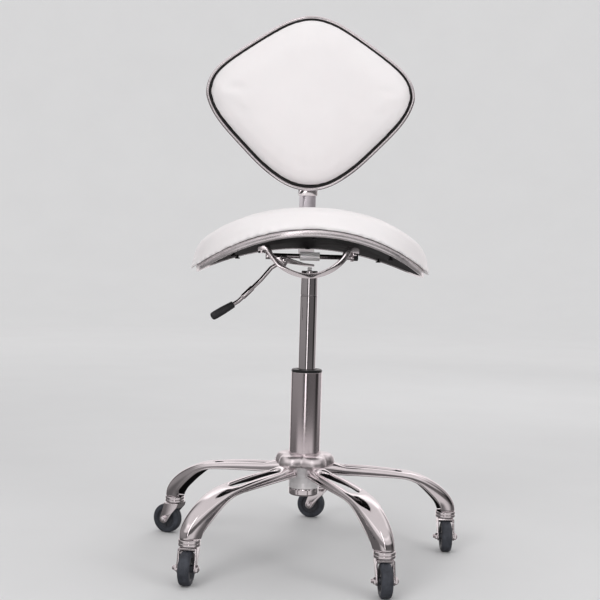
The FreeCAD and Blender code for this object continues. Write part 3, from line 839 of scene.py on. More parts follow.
back_prof = [(0.0, 187.2), (0.4, 187.2), (0.8, 187.2), (0.95, 187.0), (0.985, 186.6), (1.0, 184.6), (1.004, 180.0), (1.000, 174.5), (0.984, 168.0), (0.953, 162.4), (0.905, 158.0), (0.84, 155.2),
             (0.74, 153.2), (0.6, 152.0), (0.4, 151.2), (0.2, 150.9), (0.0, 150.8)]
v, f = back_closed(back_prof, 10.2)
back_pad = simulate_pad(v, f, lambda p: 1.0 if p[1] > 184.5 else max(0.0, 1.0 - (184.5 - p[1]) / 7.0), 2.2, voxel=0.0045, pressure=3.0, name="back_cushion")
smooth_mesh(back_pad, 22)


BACK_TH = np.arctan2(BACK[:, 1] - BC[1], BACK[:, 0])
BACK_ORD = np.argsort(BACK_TH)
BACK_R = np.hypot(BACK[:, 0], BACK[:, 1] - BC[1])


def back_pucker(p, nrm):
    th = math.atan2(p[2] - BC[1], p[0])
    rho = math.hypot(p[0], p[2] - BC[1]) / float(np.interp(th, BACK_TH[BACK_ORD], BACK_R[BACK_ORD], period=2 * math.pi))
    lower = min(1.0, max(0.0, (BC[1] + 5.0 - p[2]) / 30.0)) if p[1] < 172 else 0.0
    ridge = 0.75 * math.exp(-((rho - 0.80) / 0.045) ** 2) * lower
    low = math.exp(-((p[1] - 182.0) / 5.0) ** 2)
    n1 = noise.noise(Vector((math.cos(th) * 8.0, math.sin(th) * 8.0, 9.3)))
    n2 = noise.noise(Vector((math.cos(th) * 34.0, math.sin(th) * 34.0, 2.3)))
    soft = noise.noise(Vector((p[0] * 0.013, p[2] * 0.013, 5.7)))
    return low * (0.22 * n2 * (0.5 + 0.8 * max(0.0, n1))) + 0.12 * soft * min(1.0, max(0.0, (176.0 - p[1]) / 14.0)) + ridge


displace(back_pad, back_pucker)
subdivide(back_pad, 1)
place(back_pad, "backrest", "vinyl", "backrest_pad")


# ------------------------------------------------------------------ legs
def interp_station(t):
    A = np.array(LEG_STATIONS, float)
    s = np.r_[0, np.cumsum(np.hypot(np.diff((A[:, 0] + A[:, 2]) / 2), np.diff((A[:, 1] + A[:, 3]) / 2)))]
    # Catmull-Rom on arc length
    x = t * s[-1]
    i = int(min(max(np.searchsorted(s, x) - 1, 0), len(s) - 2))
    f = (x - s[i]) / (s[i + 1] - s[i])
    P = lambda k: A[min(max(k, 0), len(A) - 1)]
    S = lambda k: s[min(max(k, 0), len(s) - 1)]
    h = s[i + 1] - s[i]
    m0 = (P(i + 1) - P(i - 1)) / max(S(i + 1) - S(i - 1), 1e-6) * h
    m1 = (P(i + 2) - P(i)) / max(S(i + 2) - S(i), 1e-6) * h
    f2, f3 = f * f, f * f * f
    return (2 * f3 - 3 * f2 + 1) * P(i) + (f3 - 2 * f2 + f) * m0 + (-2 * f3 + 3 * f2) * P(i + 1) + (f3 - f2) * m1


def leg_mesh():
    ts = np.linspace(0, 1, 400)
    st = np.array([interp_station(t) for t in ts])
    r_mid = (st[:, 0] + st[:, 2]) / 2
    t_of_r = lambda r: float(np.interp(r, r_mid[:330], ts[:330]))
    hw = SLOT_W / 2
    rc0, rc1 = SLOT_R0 + hw, SLOT_R1 - hw      # centres of the slot's round ends
    # rows: radial positions at the slot's edge, with their bulge towards the round end
    rows = []  # (r at |y|>=hw, kind)
    inner = list(np.linspace(27.2, SLOT_R0 - 9, 6))
    rows += [(r, 0, 0.0) for r in inner]
    for d in (6.0, 3.6, 2.2, 1.3, 0.6, 0.0):
        rows.append((rc0 - 0.0, -1, d))
    mids = np.linspace(rc0, rc1, 26)[1:-1]
    rows += [(r, 0, 0.0) for r in mids]
    for d in (0.0, 0.6, 1.3, 2.2, 3.6, 6.0):
        rows.append((rc1, 1, d))
    tail_t = np.linspace(t_of_r(SLOT_R1 + 9), 1.0, 34)
    ycols = [0.0, 2.2, 4.3, 5.8, hw, hw + 0.7, hw + 1.5, hw + 2.7, hw + 4.3]
    outer_f = [0.80, 0.62, 0.46, 0.32, 0.20, 0.10, 0.03, 0.0]
    cols = []
    for sgn in (-1, 1):
        pass
    ncol_in = len(ycols)
    order = [(-1, "lip", 3), (-1, "lip", 2), (-1, "lip", 1), (-1, "lip", 0)] + [(-1, "out", k) for k in range(len(outer_f) - 1, -1, -1)] + [(-1, "in", k) for k in range(ncol_in - 1, 0, -1)] + \
            [(1, "in", k) for k in range(ncol_in)] + [(1, "out", k) for k in range(len(outer_f))] + [(1, "lip", 0), (1, "lip", 1), (1, "lip", 2), (1, "lip", 3)]

    def dist_slot(r, y):
        q = max(0.0, rc0 - r, r - rc1)
        return math.hypot(q, y) - hw

    def point(t, y_nom, sgn, kind, k, r_override=None):
        S = interp_station(t)
        rt, zt, rb, zb, w = S
        nx, nz = rt - rb, zt - zb
        H = math.hypot(nx, nz)
        nx, nz = nx / H, nz / H
        half = w / 2
        a_in = math.acos(min(1.0, (ycols[-1] / half) ** 1.25))
        if kind == "in":
            a = math.acos(min(1.0, (y_nom / half) ** 1.25))
        elif kind == "out":
            a = a_in * outer_f[k]
        else:
            a = 0.0
        y = half * (abs(math.cos(a)) ** 0.8)
        e = H * (math.sin(a) ** 0.70) if a > 0 else 0.0
        if kind == "lip":
            fade = min(1.0, max(0.0, (1.0 - t) / 0.12))
            y = half + (0.75, 1.15, 0.55, -0.9)[k] * fade - 0.25 * k * (1 - fade)
            e = (-0.25, -1.15, -1.95, -2.15)[k] * (0.15 + 0.85 * fade)
        r = rb + nx * e
        z = zb + nz * e
        d = dist_slot(r, y)
        # rolled edge round the slot
        if d < 18:
            dd = max(d, 0.0)
            drop = 5.2 * math.exp(-dd / 1.15) + 3.0 * math.exp(-(dd / 6.5) ** 2)
            r -= nx * drop
            z -= nz * drop
        return (r, sgn * y, z)

    verts, grid, hole = [], [], []
    slot_rows = []
    for r0, side, d in rows:
        line = []
        for sgn, kind, k in order:
            yn = ycols[k] if kind == "in" else 99
            if side == 0:
                rr = r0
            else:
                R = hw + d
                if kind == "in" and yn < hw + d:
                    # follow the round end
                    rr = r0 + side * math.sqrt(max(R * R - yn * yn, 0.0)) if yn <= R else r0
                else:
                    rr = r0
                if d > 0:
                    # spread the outer columns a little so that the rows don't fold
                    rr = rr + side * d * (0.9 if kind != "in" else max(0.0, min(1.0, (yn - hw) / 4.0)) * 0.9) * (0 if (kind == "in" and yn < R) else 1)
            t = t_of_r(rr)
            # iterate so that the surface point itself lies at rr
            for _ in range(4):
                p = point(t, yn, sgn, kind, k)
                t = min(1.0, max(0.0, t + (rr - p[0]) / 330.0))
            line.append(len(verts))
            verts.append(point(t, yn, sgn, kind, k))
        grid.append(line)
        slot_rows.append((r0, side, d))
    n_slot = len(grid)
    for t in tail_t:
        line = []
        for sgn, kind, k in order:
            yn = ycols[k] if kind == "in" else 99
            line.append(len(verts))
            verts.append(point(t, yn, sgn, kind, k))
        grid.append(line)
    faces = []
    mid_cols = [i for i, (s, kd, k) in enumerate(order) if kd == "in"]
    for i in range(len(grid) - 1):
        for j in range(len(order) - 1):
            a, b = order[j], order[j + 1]
            if i < n_slot - 1:
                inside_row = (slot_rows[i][1] == 0 or slot_rows[i][2] == 0.0) and (slot_rows[i + 1][1] == 0 or slot_rows[i + 1][2] == 0.0) \
                    and slot_rows[i][0] >= rc0 - 0.01 and slot_rows[i + 1][0] <= rc1 + 0.01
                inner_col = a[1] == "in" and b[1] == "in" and a[2] <= 4 and b[2] <= 4
                if inside_row and inner_col:
                    continue
            faces.append((grid[i][j], grid[i][j + 1], grid[i + 1][j + 1], grid[i + 1][j]))
    shade = []                    # painted shade: the turned-down edge of the slot gets the near-black material so the slot reads as a dark hole
    for q in faces:
        shade.append(all(rc0 - hw - 1.0 < verts[i][0] < rc1 + hw + 1.0 and abs(verts[i][1]) < hw + 1.0 and dist_slot(verts[i][0], abs(verts[i][1])) < 0.9 for i in q))
    return np.array(verts), faces, shade


LV, LF, LS = leg_mesh()
SHADED = {tuple(sorted(q)) for q, flag in zip(LF, LS) if flag}
for name, ang in zip(LEG_NAMES, LEG_ANGLES):
    ob = obj_from("leg_%s_shell" % name, xf(LV, rz(ang)), LF, CHROME_LEG, None)
    ob.data.materials.append(SHADE)
    for pl in ob.data.polygons:
        if tuple(sorted(pl.vertices)) in SHADED:
            pl.material_index = 1
    bm = bmesh.new()
    bm.from_mesh(ob.data)
    loose = [v for v in bm.verts if not v.link_faces]
    bmesh.ops.delete(bm, geom=loose, context="VERTS")
    # the shell's outside faces up
    up_area = sum(f.normal.z * f.calc_area() for f in bm.faces)
    if up_area < 0:
        bmesh.ops.reverse_faces(bm, faces=bm.faces)
    bm.to_mesh(ob.data)
    bm.free()
    md = ob.modifiers.new("solid", "SOLIDIFY")
    md.thickness = 2.0 * MM
    md.offset = -1.0
    md.use_even_offset = False
    # the shell's inner faces get the near-black painted shade
    md.material_offset = 1
    md.material_offset_rim = 0
    md = ob.modifiers.new("sub", "SUBSURF")
    md.levels = 1
    md.render_levels = 1
    apply_mods(ob)
    ob.data.shade_smooth()
    place(ob, "base", "chrome", "leg_" + name)

# ------------------------------------------------------------------ hub
def lobe_r(phi, R=50.0, w=22.5):
    """Outline of the five-lobed crown at angle phi from a lobe's axis (degrees)."""
    p = math.radians(((phi + 36.0) % 72.0) - 36.0)
    c = R - w
    q = w * w - (c * math.sin(p)) ** 2
    return c * math.cos(p) + math.sqrt(max(q, 0.0))


def crown_mesh(segs=240):
    rows = []
    # (z, blend of lobe shape 0..1, outward offset, plain radius)
    spec = [(162.8, 0, 0, 25.25), (164.6, 0, 0, 25.3), (165.0, 0, 0, 25.8), (165.0, 0, 0, 28.0), (164.7, 0.35, -14.0, 31.0), (163.9, 0.8, -9.4, 0), (162.6, 1, -6.2, 0),
            (160.6, 1, -3.7, 0), (158.0, 1, -1.9, 0), (155.2, 1, -0.75, 0), (152.6, 1, -0.15, 0), (150.4, 1, 0.0, 0), (148.4, 1, -0.35, 0), (146.8, 1, -1.3, 0),
            (145.6, 1, -3.2, 0), (144.8, 0.8, -6.5, 29.0), (143.0, 0.35, -9.0, 28.5), (140.5, 0.1, -9, 28.2), (137.0, 0, 0, 27.6), (134.0, 0, 0, 27.3), (134.0, 0, 0, 25.4)]
    verts, faces = [], []
    for z, bl, off, plain in spec:
        for k in range(segs):
            a = 360.0 * k / segs
            L = lobe_r(a - LEG_ANGLES[0]) + off
            # soften the valleys between the lobes
            r = bl * L + (1 - bl) * plain if plain else L
            verts.append((r * math.cos(math.radians(a)), r * math.sin(math.radians(a)), z))
    n = len(spec)
    for i in range(n):
        j = (i + 1) % n
        for k in range(segs):
            k2 = (k + 1) % segs
            faces.append((i * segs + k, i * segs + k2, j * segs + k2, j * segs + k))
    V = np.array(verts)
    # round the valleys: average around the ring
    V = V.reshape(n, segs, 3)
    for _ in range(10):
        V[3:18] = V[3:18] * 0.5 + 0.25 * (np.roll(V[3:18], 1, 1) + np.roll(V[3:18], -1, 1))
    return V.reshape(-1, 3), faces


v, f = crown_mesh()
crown = obj_from("hub_crown_plate", xf(v), f, CHROME_HUB, None)
crown.data.shade_smooth()
crown.data.set_sharp_from_angle(angle=math.radians(70))
place(crown, "base", "chrome", "hub_crown")
lathe_obj("hub_sleeve_turned", round_profile([(23.0, 109.0), (24.6, 109.0), (24.75, 112.5), (24.3, 118.0), (25.6, 126.0), (29.0, 134.0), (33.5, 141.0), (36.0, 146.0), (36.0, 148.4), (25.2, 150)],
                                             [0.2, 0.5, 1.5, 6, 8, 8, 5, 1.0, 0.5, 0.2], 6), SATIN, "base", "chrome", ("hub_sleeve",))
lathe_obj("hub_lock_ring_turned", round_profile([(22.5, 98.0), (23.4, 98.0), (24.3, 99.5), (24.3, 107.0), (23.6, 108.5), (22.9, 108.5)], [0.2, 0.6, 0.8, 0.8, 0.5, 0.2], 4),
          CHROME, "base", "chrome", ("hub_lock_ring",))

# ------------------------------------------------------------------ column
lathe_obj("outer_tube_turned", round_profile([(18.5, 97.0), (22.3, 97.0), (25.0, 160.0), (25.0, 296.4), (23.05, 296.4), (23.05, 160.0), (20.4, 101.2), (18.5, 101.2)],
                                             [0.5, 0.8, 8, 0.7, 0.4, 4, 0.4, 0.4], 5), CHROME_OUTER, "base", "chrome", ("column_outer_tube",), 128)
lathe_obj("guide_bush_turned", round_profile([(14.15, 257.0), (22.8, 257.0), (22.8, 296.5), (24.8, 296.5), (24.9, 299.1), (23.6, 300.7), (17.5, 301.0), (16.0, 300.1), (14.15, 299.7)],
                                             [0.3, 0.3, 0.1, 0.3, 0.8, 0.8, 0.8, 0.5, 0.5], 4), BLACK_RING, "base", "black_plastic", ("column_guide_bush",), 128)
lathe_obj("gas_cylinder_turned", round_profile([(12.05, 222.0), (13.4, 222.0), (14.0, 223.0), (14.0, 418.7), (13.45, 419.3), (13.4, 420.6), (13.85, 421.2), (13.3, 456.0), (13.1, 459.2), (12.2, 460.0), (3.6, 460.0),
                                                (3.6, 440.0), (0.0, 440.0)], [0.3, 0.4, 0.5, 0.3, 0.3, 0.3, 0.3, 2, 0.5, 0.5, 0.2, 0.1, 0], 4, closed=False)
          + [(0.0, 436.0), (12.05, 436.0)], CHROME_TUBE, "seat", "chrome", ("gas_cylinder",), 128)
lathe_obj("release_button_turned", round_profile([(0, 446.0), (3.5, 446.0), (3.5, 464.6), (2.9, 466.0), (0, 466.2)], [0, 0.3, 0.5, 0.7, 0], 4, closed=False), SATIN, "release_button", "steel", ("release_button",), 48, closed=False)
for n, mt in (("column_base_plate", STEEL), ("thrust_bearing", STEEL), ("retaining_clip", STEEL), ("piston_rod", CHROME_TUBE), ("piston", STEEL), ("cylinder_gland", STEEL)):
    NODES[n].data.materials.clear()
    NODES[n].data.materials.append(mt)

# ------------------------------------------------------------------ casters
def tyre_profile():
    h = 8.5
    p = [(17.5, -h + 0.1), (19.0, -h), (21.3, -h), (23.3, -h + 0.9), (24.5, -h + 2.4), (24.92, -h + 4.6), (25.0, -1.6), (24.75, -1.2), (24.75, -0.5), (25.0, -0.1), (25.0, 0.1), (24.75, 0.5), (24.75, 1.2), (25.0, 1.6),
         (24.92, h - 4.6), (24.5, h - 2.4), (23.3, h - 0.9), (21.3, h), (19.0, h), (17.5, h - 0.1)]
    return p


def wheel_profile():
    return round_profile([(3.08, -10.6), (5.4, -10.6), (5.9, -7.2), (9.0, -6.0), (14.8, -5.7), (16.0, -7.6), (17.45, -7.9), (17.45, 7.9), (16.0, 7.6), (14.8, 5.7), (9.0, 6.0), (5.9, 7.2), (5.4, 10.6), (3.08, 10.6)],
                         [0.2, 0.5, 0.7, 1, 1.2, 0.6, 0.2, 0.2, 0.6, 1.2, 1, 0.7, 0.5, 0.2], 3)


def hex_head(af, h, chamfer=0.8):
    """Hexagon head with its corners turned off, base at z=0."""
    prof = [(0, 0), (af / 2 * 0.96, 0)]
    R = af / math.sqrt(3)
    verts, faces = [], []
    m = 72
    rows = []
    for z, lim in ((0.0, 1e9), (h * 0.55, 1e9), (h - chamfer * 0.9, R * 1.0), (h - chamfer * 0.4, R * 0.965), (h, af / 2 * 0.93)):
        row = []
        for k in range(m):
            a = 2 * math.pi * k / m
            d = (a + math.pi / 6) % (math.pi / 3) - math.pi / 6
            r = min((af / 2) / math.cos(d), lim)
            row.append(len(verts))
            verts.append((r * math.cos(a), r * math.sin(a), z))
        rows.append(row)
    for A, B in zip(rows, rows[1:]):
        for k in range(m):
            k2 = (k + 1) % m
            faces.append((A[k], A[k2], B[k2], B[k]))
    verts += [(0, 0, 0), (0, 0, h)]
    for k in range(m):
        k2 = (k + 1) % m
        faces.append((len(verts) - 2, rows[0][k2], rows[0][k]))
        faces.append((len(verts) - 1, rows[-1][k], rows[-1][k2]))
    return np.array(verts), faces


def dome(r, h, z0, segs=48, n=8):
    prof = [(r, z0)] + [(r * math.cos(math.pi / 2 * k / n), z0 + h * math.sin(math.pi / 2 * k / n)) for k in range(1, n)] + [(0, z0 + h)]
    return lathe_mesh([(0, z0)] + prof, segs, closed=False)


def cylinder(r, z0, z1, segs=48, ch=0.3):
    return lathe_mesh([(0, z0), (r - ch, z0), (r, z0 + ch), (r, z1 - ch), (r - ch, z1), (0, z1)], segs, closed=False)


FORK_SIDE = [(-13.5, 54.0), (13.5, 54.0), (14.5, 47.0), (18.2, 36.5), (21.0, 27.2), (20.3, 22.2), (17.6, 19.2), (14.0, 18.0), (10.4, 19.0),
             (7.4, 22.0), (-2.0, 36.5), (-11.8, 47.4)]
for name, ang, trail in zip(LEG_NAMES, LEG_ANGLES, TRAIL_ANGLES):
    cx, cy = polar(STEM_R0, ang)
    R = rz(trail)
    # wheel axis is local Y; lathe axis Z -> Y
    lay = np.array([[1, 0, 0], [0, 0, 1], [0, -1, 0]], float)
    v, f = lathe_mesh(tyre_profile(), 96)
    v = v @ lay.T + np.array((14.0, 0, 25.0))
    place(obj_from("tyre_" + name, xf(v, R, (cx, cy, 0)), f, TYRE, 40), "wheel_" + name, "tyre", "caster_tyre_" + name)
    v, f = lathe_mesh(wheel_profile(), 96)
    # five shallow ribs on each wheel face
    parts = [(v, f)]
    for s in (-1, 1):
        for q in range(5):
            a = 2 * math.pi * q / 5 + 0.4
            rib = []
            for rr, hh, ww in ((6.4, 6.6, 1.1), (10.5, 6.75, 0.95), (14.6, 6.7, 0.9)):
                c0 = np.array((rr * math.cos(a), rr * math.sin(a)))
                n0 = np.array((-math.sin(a), math.cos(a)))
                rib.append([(*(c0 - n0 * ww), s * 5.2), (*(c0 - n0 * ww * 0.8), s * hh), (*(c0 + n0 * ww * 0.8), s * hh), (*(c0 + n0 * ww), s * 5.2)])
            rv = np.array([p for r_ in rib for p in r_], float)
            rf = []
            for i_ in range(2):
                for k_ in range(3):
                    rf.append((i_ * 4 + k_, i_ * 4 + k_ + 1, (i_ + 1) * 4 + k_ + 1, (i_ + 1) * 4 + k_))
                rf.append((i_ * 4 + 3, i_ * 4, (i_ + 1) * 4, (i_ + 1) * 4 + 3))
            rf += [(0, 1, 2, 3), (8, 9, 10, 11)]
            parts.append((rv, rf))
    v, f = merge(*parts)
    v = v @ lay.T + np.array((14.0, 0, 25.0))
    place(obj_from("wheel_core_" + name, xf(v, R, (cx, cy, 0)), f, WHEEL, 35), "wheel_" + name, "wheel_plastic", "caster_wheel_" + name)
    # axle: dome-headed bolt and nut
    ya = np.array([[1, 0, 0], [0, 0, 1], [0, -1, 0]], float)          # +Z -> +Y... used for the +Y side
    hv, hf = merge(hex_head(10, 3.7), dome(4.3, 2.2, 3.6), cylinder(5.6, -0.02, 0.7))
    right_side = (hv @ np.array([[1, 0, 0], [0, 0, 1], [0, -1, 0]]).T + np.array((14.0, 13.75, 25.0)), hf)
    nv, nf = merge(hex_head(9, 3.4), cylinder(3.9, 3.3, 4.4), cylinder(5.3, -0.02, 0.7))
    left_side = (nv @ np.array([[1, 0, 0], [0, 0, -1], [0, 1, 0]]).T + np.array((14.0, -13.75, 25.0)), nf)
    sv, sf = lathe_mesh([(0, -14.5), (3.0, -14.5)] + [q for k in range(14) for q in ((3.0, 14.5 + k * 0.42), (2.72, 14.71 + k * 0.42))] + [(2.9, 20.5), (2.4, 20.95), (0, 20.95)], 40, closed=False)
    shank = (sv @ np.array([[1, 0, 0], [0, 0, -1], [0, 1, 0]]).T + np.array((14.0, 0, 25.0)), sf)
    v, f = merge(right_side, left_side, shank)
    place(obj_from("axle_bolt_" + name, xf(v, R, (cx, cy, 0)), f, CHROME, 35), "caster_" + name, "chrome", "caster_axle_" + name)
    refine("caster_fork_" + name, CHROME_STRAP, "caster_" + name, "chrome", bevel=0.45, angle=30)

parts_c, parts_s = [], []
for ang in LEG_ANGLES:
    cx, cy = polar(STEM_R0, ang)
    pr = round_profile([(4.08, 55.0), (15.2, 55.0), (16.5, 56.2), (16.5, 59.2), (15.7, 59.8), (15.7, 60.4), (16.5, 61.0), (16.5, 64.2), (15.7, 65.0), (4.08, 65.0)],
                       [0.2, 0.8, 0.9, 0.4, 0.2, 0.2, 0.4, 0.6, 0.5, 0.2], 3)
    v, f = lathe_mesh(pr, 72)
    parts_c.append((v + np.array((cx, cy, 0)), f))
    pr = [(4.08, 65.0), (7.4, 65.0), (7.4, 66.2), (7.0, 66.8), (7.0, 81.5), (6.2, 83.6), (4.0, 84.5), (0, 84.5)]
    v, f = lathe_mesh(round_profile(pr, [0, 0.2, 0.3, 0.3, 0.8, 1, 0.5, 0], 3, closed=False) + [(0, 82.0), (4.08, 82.0)], 48, closed=True)
    parts_s.append((v + np.array((cx, cy, 0)), f))
v, f = merge(*parts_c)
place(obj_from("collars_turned", xf(v), f, CHROME, 35), "base", "chrome", "caster_collars")
v, f = merge(*parts_s)
place(obj_from("sockets_turned", xf(v), f, CHROME, 35), "base", "steel", "caster_stem_sockets")

# ------------------------------------------------------------------ bracket, bolts, lever
def strap_arc(r, a0, a1, n=80):
    return [(-3.5 + r * math.sin(math.radians(a0 + (a1 - a0) * i / n)), 524.0 - r * math.cos(math.radians(a0 + (a1 - a0) * i / n))) for i in range(n + 1)]


def prism_y(prof, y0, y1):
    n = len(prof)
    V = [(x, y0, z) for x, z in prof] + [(x, y1, z) for x, z in prof]
    F = [tuple(range(n)), tuple(range(2 * n - 1, n - 1, -1))] + [(i, i + n, (i + 1) % n + n, (i + 1) % n) for i in range(n)]
    return np.array(V, float), F


foot = lambda sx: [(-3.5 + sx * 68.0, 491.5), (-3.5 + sx * 80.5, 489.5), (-3.5 + sx * 80.5, 512.0), (-3.5 + sx * 68.5, 512.0)]
strap_prof = strap_arc(76.0, -56, 56) + foot(1) + strap_arc(68.0, 56, -56) + foot(-1)[::-1]
v, f = prism_y(strap_prof, -26.0, 26.0)
strap = obj_from("seat_bracket_strap", xf(v), f, CHROME_STRAP, None)
dx, dz = -16 / 19.084, -10.4 / 19.084
v, f = prism_y([(-42 + dx * a - n * dz, 476 + dz * a - n * 16 / 19.084) for a, n in ((4, -8.4), (34, -8.4), (34, 6.2), (4, 6.2))], -6.8, 6.8)
cutter = obj_from("lever_slot_cutter", xf(v), f, CHROME_STRAP, None)
md = strap.modifiers.new("slot", "BOOLEAN")
md.operation = "DIFFERENCE"
md.solver = "EXACT"
md.object = cutter
md = strap.modifiers.new("bevel", "BEVEL")
md.width = 0.9 * MM
md.segments = 3
md.limit_method = "ANGLE"
md.angle_limit = math.radians(30)
apply_mods(strap)
bpy.data.objects.remove(cutter)
ear = [(-35.2, 479.5), (-35.6, 472.0), (-38.2, 467.6)] + [(x, z) for x, z in strap_arc(72.0, -31, -50, 6)] + [(-53.0, 483.5), (-42.0, 484.0), (-37.5, 482.6)]
v, f = merge(prism_y(ear, 7.6, 10.2), prism_y(ear, -10.2, -7.6))
ears = obj_from("seat_bracket_ears", xf(v), f, CHROME_STRAP, None)
md = ears.modifiers.new("bevel", "BEVEL")
md.width = 0.5 * MM
md.segments = 3
md.limit_method = "ANGLE"
md.angle_limit = math.radians(30)
apply_mods(ears)
bm = bmesh.new()
bm.from_mesh(strap.data)
bm.from_mesh(ears.data)
bm.to_mesh(strap.data)
bm.free()
bpy.data.objects.remove(ears)
strap.data.shade_smooth()
strap.data.set_sharp_from_angle(angle=math.radians(35))
place(strap, "seat", "chrome", "seat_bracket")
bar = refine("backrest_bar", CHROME_BAR, "backrest", "chrome", bevel=0.9, angle=30, segments=3)
bar.data.materials.append(SATIN)
for pl in bar.data.polygons:       # painted highlight: the bored foot of the bar gets the bright satin material so it shows a bright patch
    if pl.center.z < 0.4965:
        pl.material_index = 1
refine("backrest_bracket", CHROME, "backrest", "chrome", bevel=0.6, angle=30)
refine("bracket_bolts", CHROME, "seat", "chrome", bevel=0.35, angle=30)
refine("lever_pivot_pin", CHROME, "seat", "chrome", bevel=0.35, angle=30)
refine("cross_bolt", CHROME, "seat", "chrome", bevel=0.4, angle=30)
refine("seat_pan_screws", SCREW_DARK, "seat", "steel", bevel=0.4, angle=30)
refine("backrest_screws", STEEL, "backrest", "steel", bevel=0.5, angle=30)
knob = refine("clamp_knob", BLACK, "clamp_knob", "black_plastic", bevel=0.4, angle=30)
knob.data.materials.append(CHROME)
for pl in knob.data.polygons:      # plated hub, moulded end
    pl.material_index = 1 if pl.center.x < 0.0722 else 0
refine("release_lever", CHROME_STRAP, "release_lever", "chrome", bevel=0.3, angle=40)

ga, gb = np.array((-121.7, -6.0, 402.7)), np.array((-155.5, -17.5, 381.8))
gl = np.linalg.norm(gb - ga)
gd = (gb - ga) / gl
prof = [(0.0, 3.6), (0.0, 5.0), (0.6, 5.6), (1.6, 5.75), (3.0, 5.6)]
for k in range(12):                      # moulded finger rings
    s0 = 4.0 + k * 2.55
    rr = 5.6 + 0.9 * min(1.0, k / 6.0)
    prof += [(s0, rr), (s0 + 0.55, rr + 0.28), (s0 + 1.5, rr + 0.3), (s0 + 2.0, rr)]
prof += [(gl - 5.5, 6.5), (gl - 3.0, 6.3), (gl - 1.3, 5.4), (gl - 0.3, 3.6), (gl, 1.8)]
prof = sorted(prof, key=lambda q: q[0])
pts = [ga + gd * s for s, r in prof]
v, f = tube_mesh(np.array(pts) + np.array([gd * 1e-4 * i for i in range(len(pts))]), [r for s, r in prof], 40)
place(obj_from("lever_grip_moulded", v * MM, f, BLACK, 50), "release_lever", "black_plastic", "lever_grip")

# ------------------------------------------------------------------ stage: floor, backdrop, light
def plane(name, verts, mat):
    me = bpy.data.meshes.new(name)
    me.from_pydata(verts, [], [tuple(range(len(verts)))])
    me.materials.append(mat)
    ob = bpy.data.objects.new(name, me)
    SC.collection.objects.link(ob)
    return ob


def stage_mat(name, col, rough=0.9, noise_amt=0.03):
    m, nt, b = new_mat(name)
    v = coords(nt)
    n = noise_tex(nt, v, 3.0, 4.0)
    nt.links.new(ramp(nt, n, [(0.3, tuple(c * (1 - noise_amt) for c in col)), (0.7, col)]), b.inputs["Base Color"])
    b.inputs["Roughness"].default_value = rough
    b.inputs["Specular IOR Level"].default_value = 0.1
    return m


FLOOR = stage_mat("pale_floor", (0.76, 0.755, 0.757))
nt = FLOOR.node_tree          # the far part of the sweep is lit a little more, so that it stays as pale as the floor
geo = nt.nodes.new("ShaderNodeNewGeometry")
mul = nt.nodes.new("ShaderNodeVectorMath")
mul.operation = "MULTIPLY"
mul.inputs[1].default_value = (1, 1, 0)
nt.links.new(geo.outputs["Position"], mul.inputs[0])
ln = nt.nodes.new("ShaderNodeVectorMath")
ln.operation = "LENGTH"
nt.links.new(mul.outputs[0], ln.inputs[0])
mr = nt.nodes.new("ShaderNodeMapRange")
mr.interpolation_type = "SMOOTHSTEP"
mr.inputs["From Min"].default_value = 0.7
mr.inputs["From Max"].default_value = 4.2
mr.inputs["To Min"].default_value = 0.0
mr.inputs["To Max"].default_value = 0.24
nt.links.new(ln.outputs["Value"], mr.inputs["Value"])
fb = nt.nodes["Principled BSDF"]
fb.inputs["Emission Color"].default_value = (0.99, 0.985, 0.985, 1)
nt.links.new(mr.outputs[0], fb.inputs["Emission Strength"])
floor = plane("floor", [(5.2 * math.cos(a), 5.2 * math.sin(a), 0) for a in np.radians(np.arange(0, 360, 3))], FLOOR)
floor.visible_glossy = False
sweep_prof = [(5.2 + 2.4 * math.sin(a), 2.4 - 2.4 * math.cos(a)) for a in np.radians(np.linspace(0, 90, 25))] + [(7.6, 14.0)]
me = bpy.data.meshes.new("backdrop")
me.from_pydata([(r * math.cos(a), r * math.sin(a), z) for r, z in sweep_prof for a in np.radians(np.arange(0, 360, 3))], [],
               [(i * 120 + k, i * 120 + (k + 1) % 120, (i + 1) * 120 + (k + 1) % 120, (i + 1) * 120 + k) for i in range(len(sweep_prof) - 1) for k in range(120)])
me.materials.append(FLOOR)
me.shade_smooth()
backdrop = bpy.data.objects.new("backdrop", me)
SC.collection.objects.link(backdrop)
backdrop.visible_glossy = False
backdrop.visible_diffuse = False
backdrop.visible_shadow = False

world = bpy.data.worlds.new("world")
SC.world = world
world.use_nodes = True
nt = world.node_tree
nt.nodes.clear()
wo = nt.nodes.new("ShaderNodeOutputWorld")
bg = nt.nodes.new("ShaderNodeBackground")
bg.inputs[0].default_value = (0.86, 0.865, 0.875, 1)
bg.inputs[1].default_value = 0.62
nt.links.new(bg.outputs[0], wo.inputs[0])


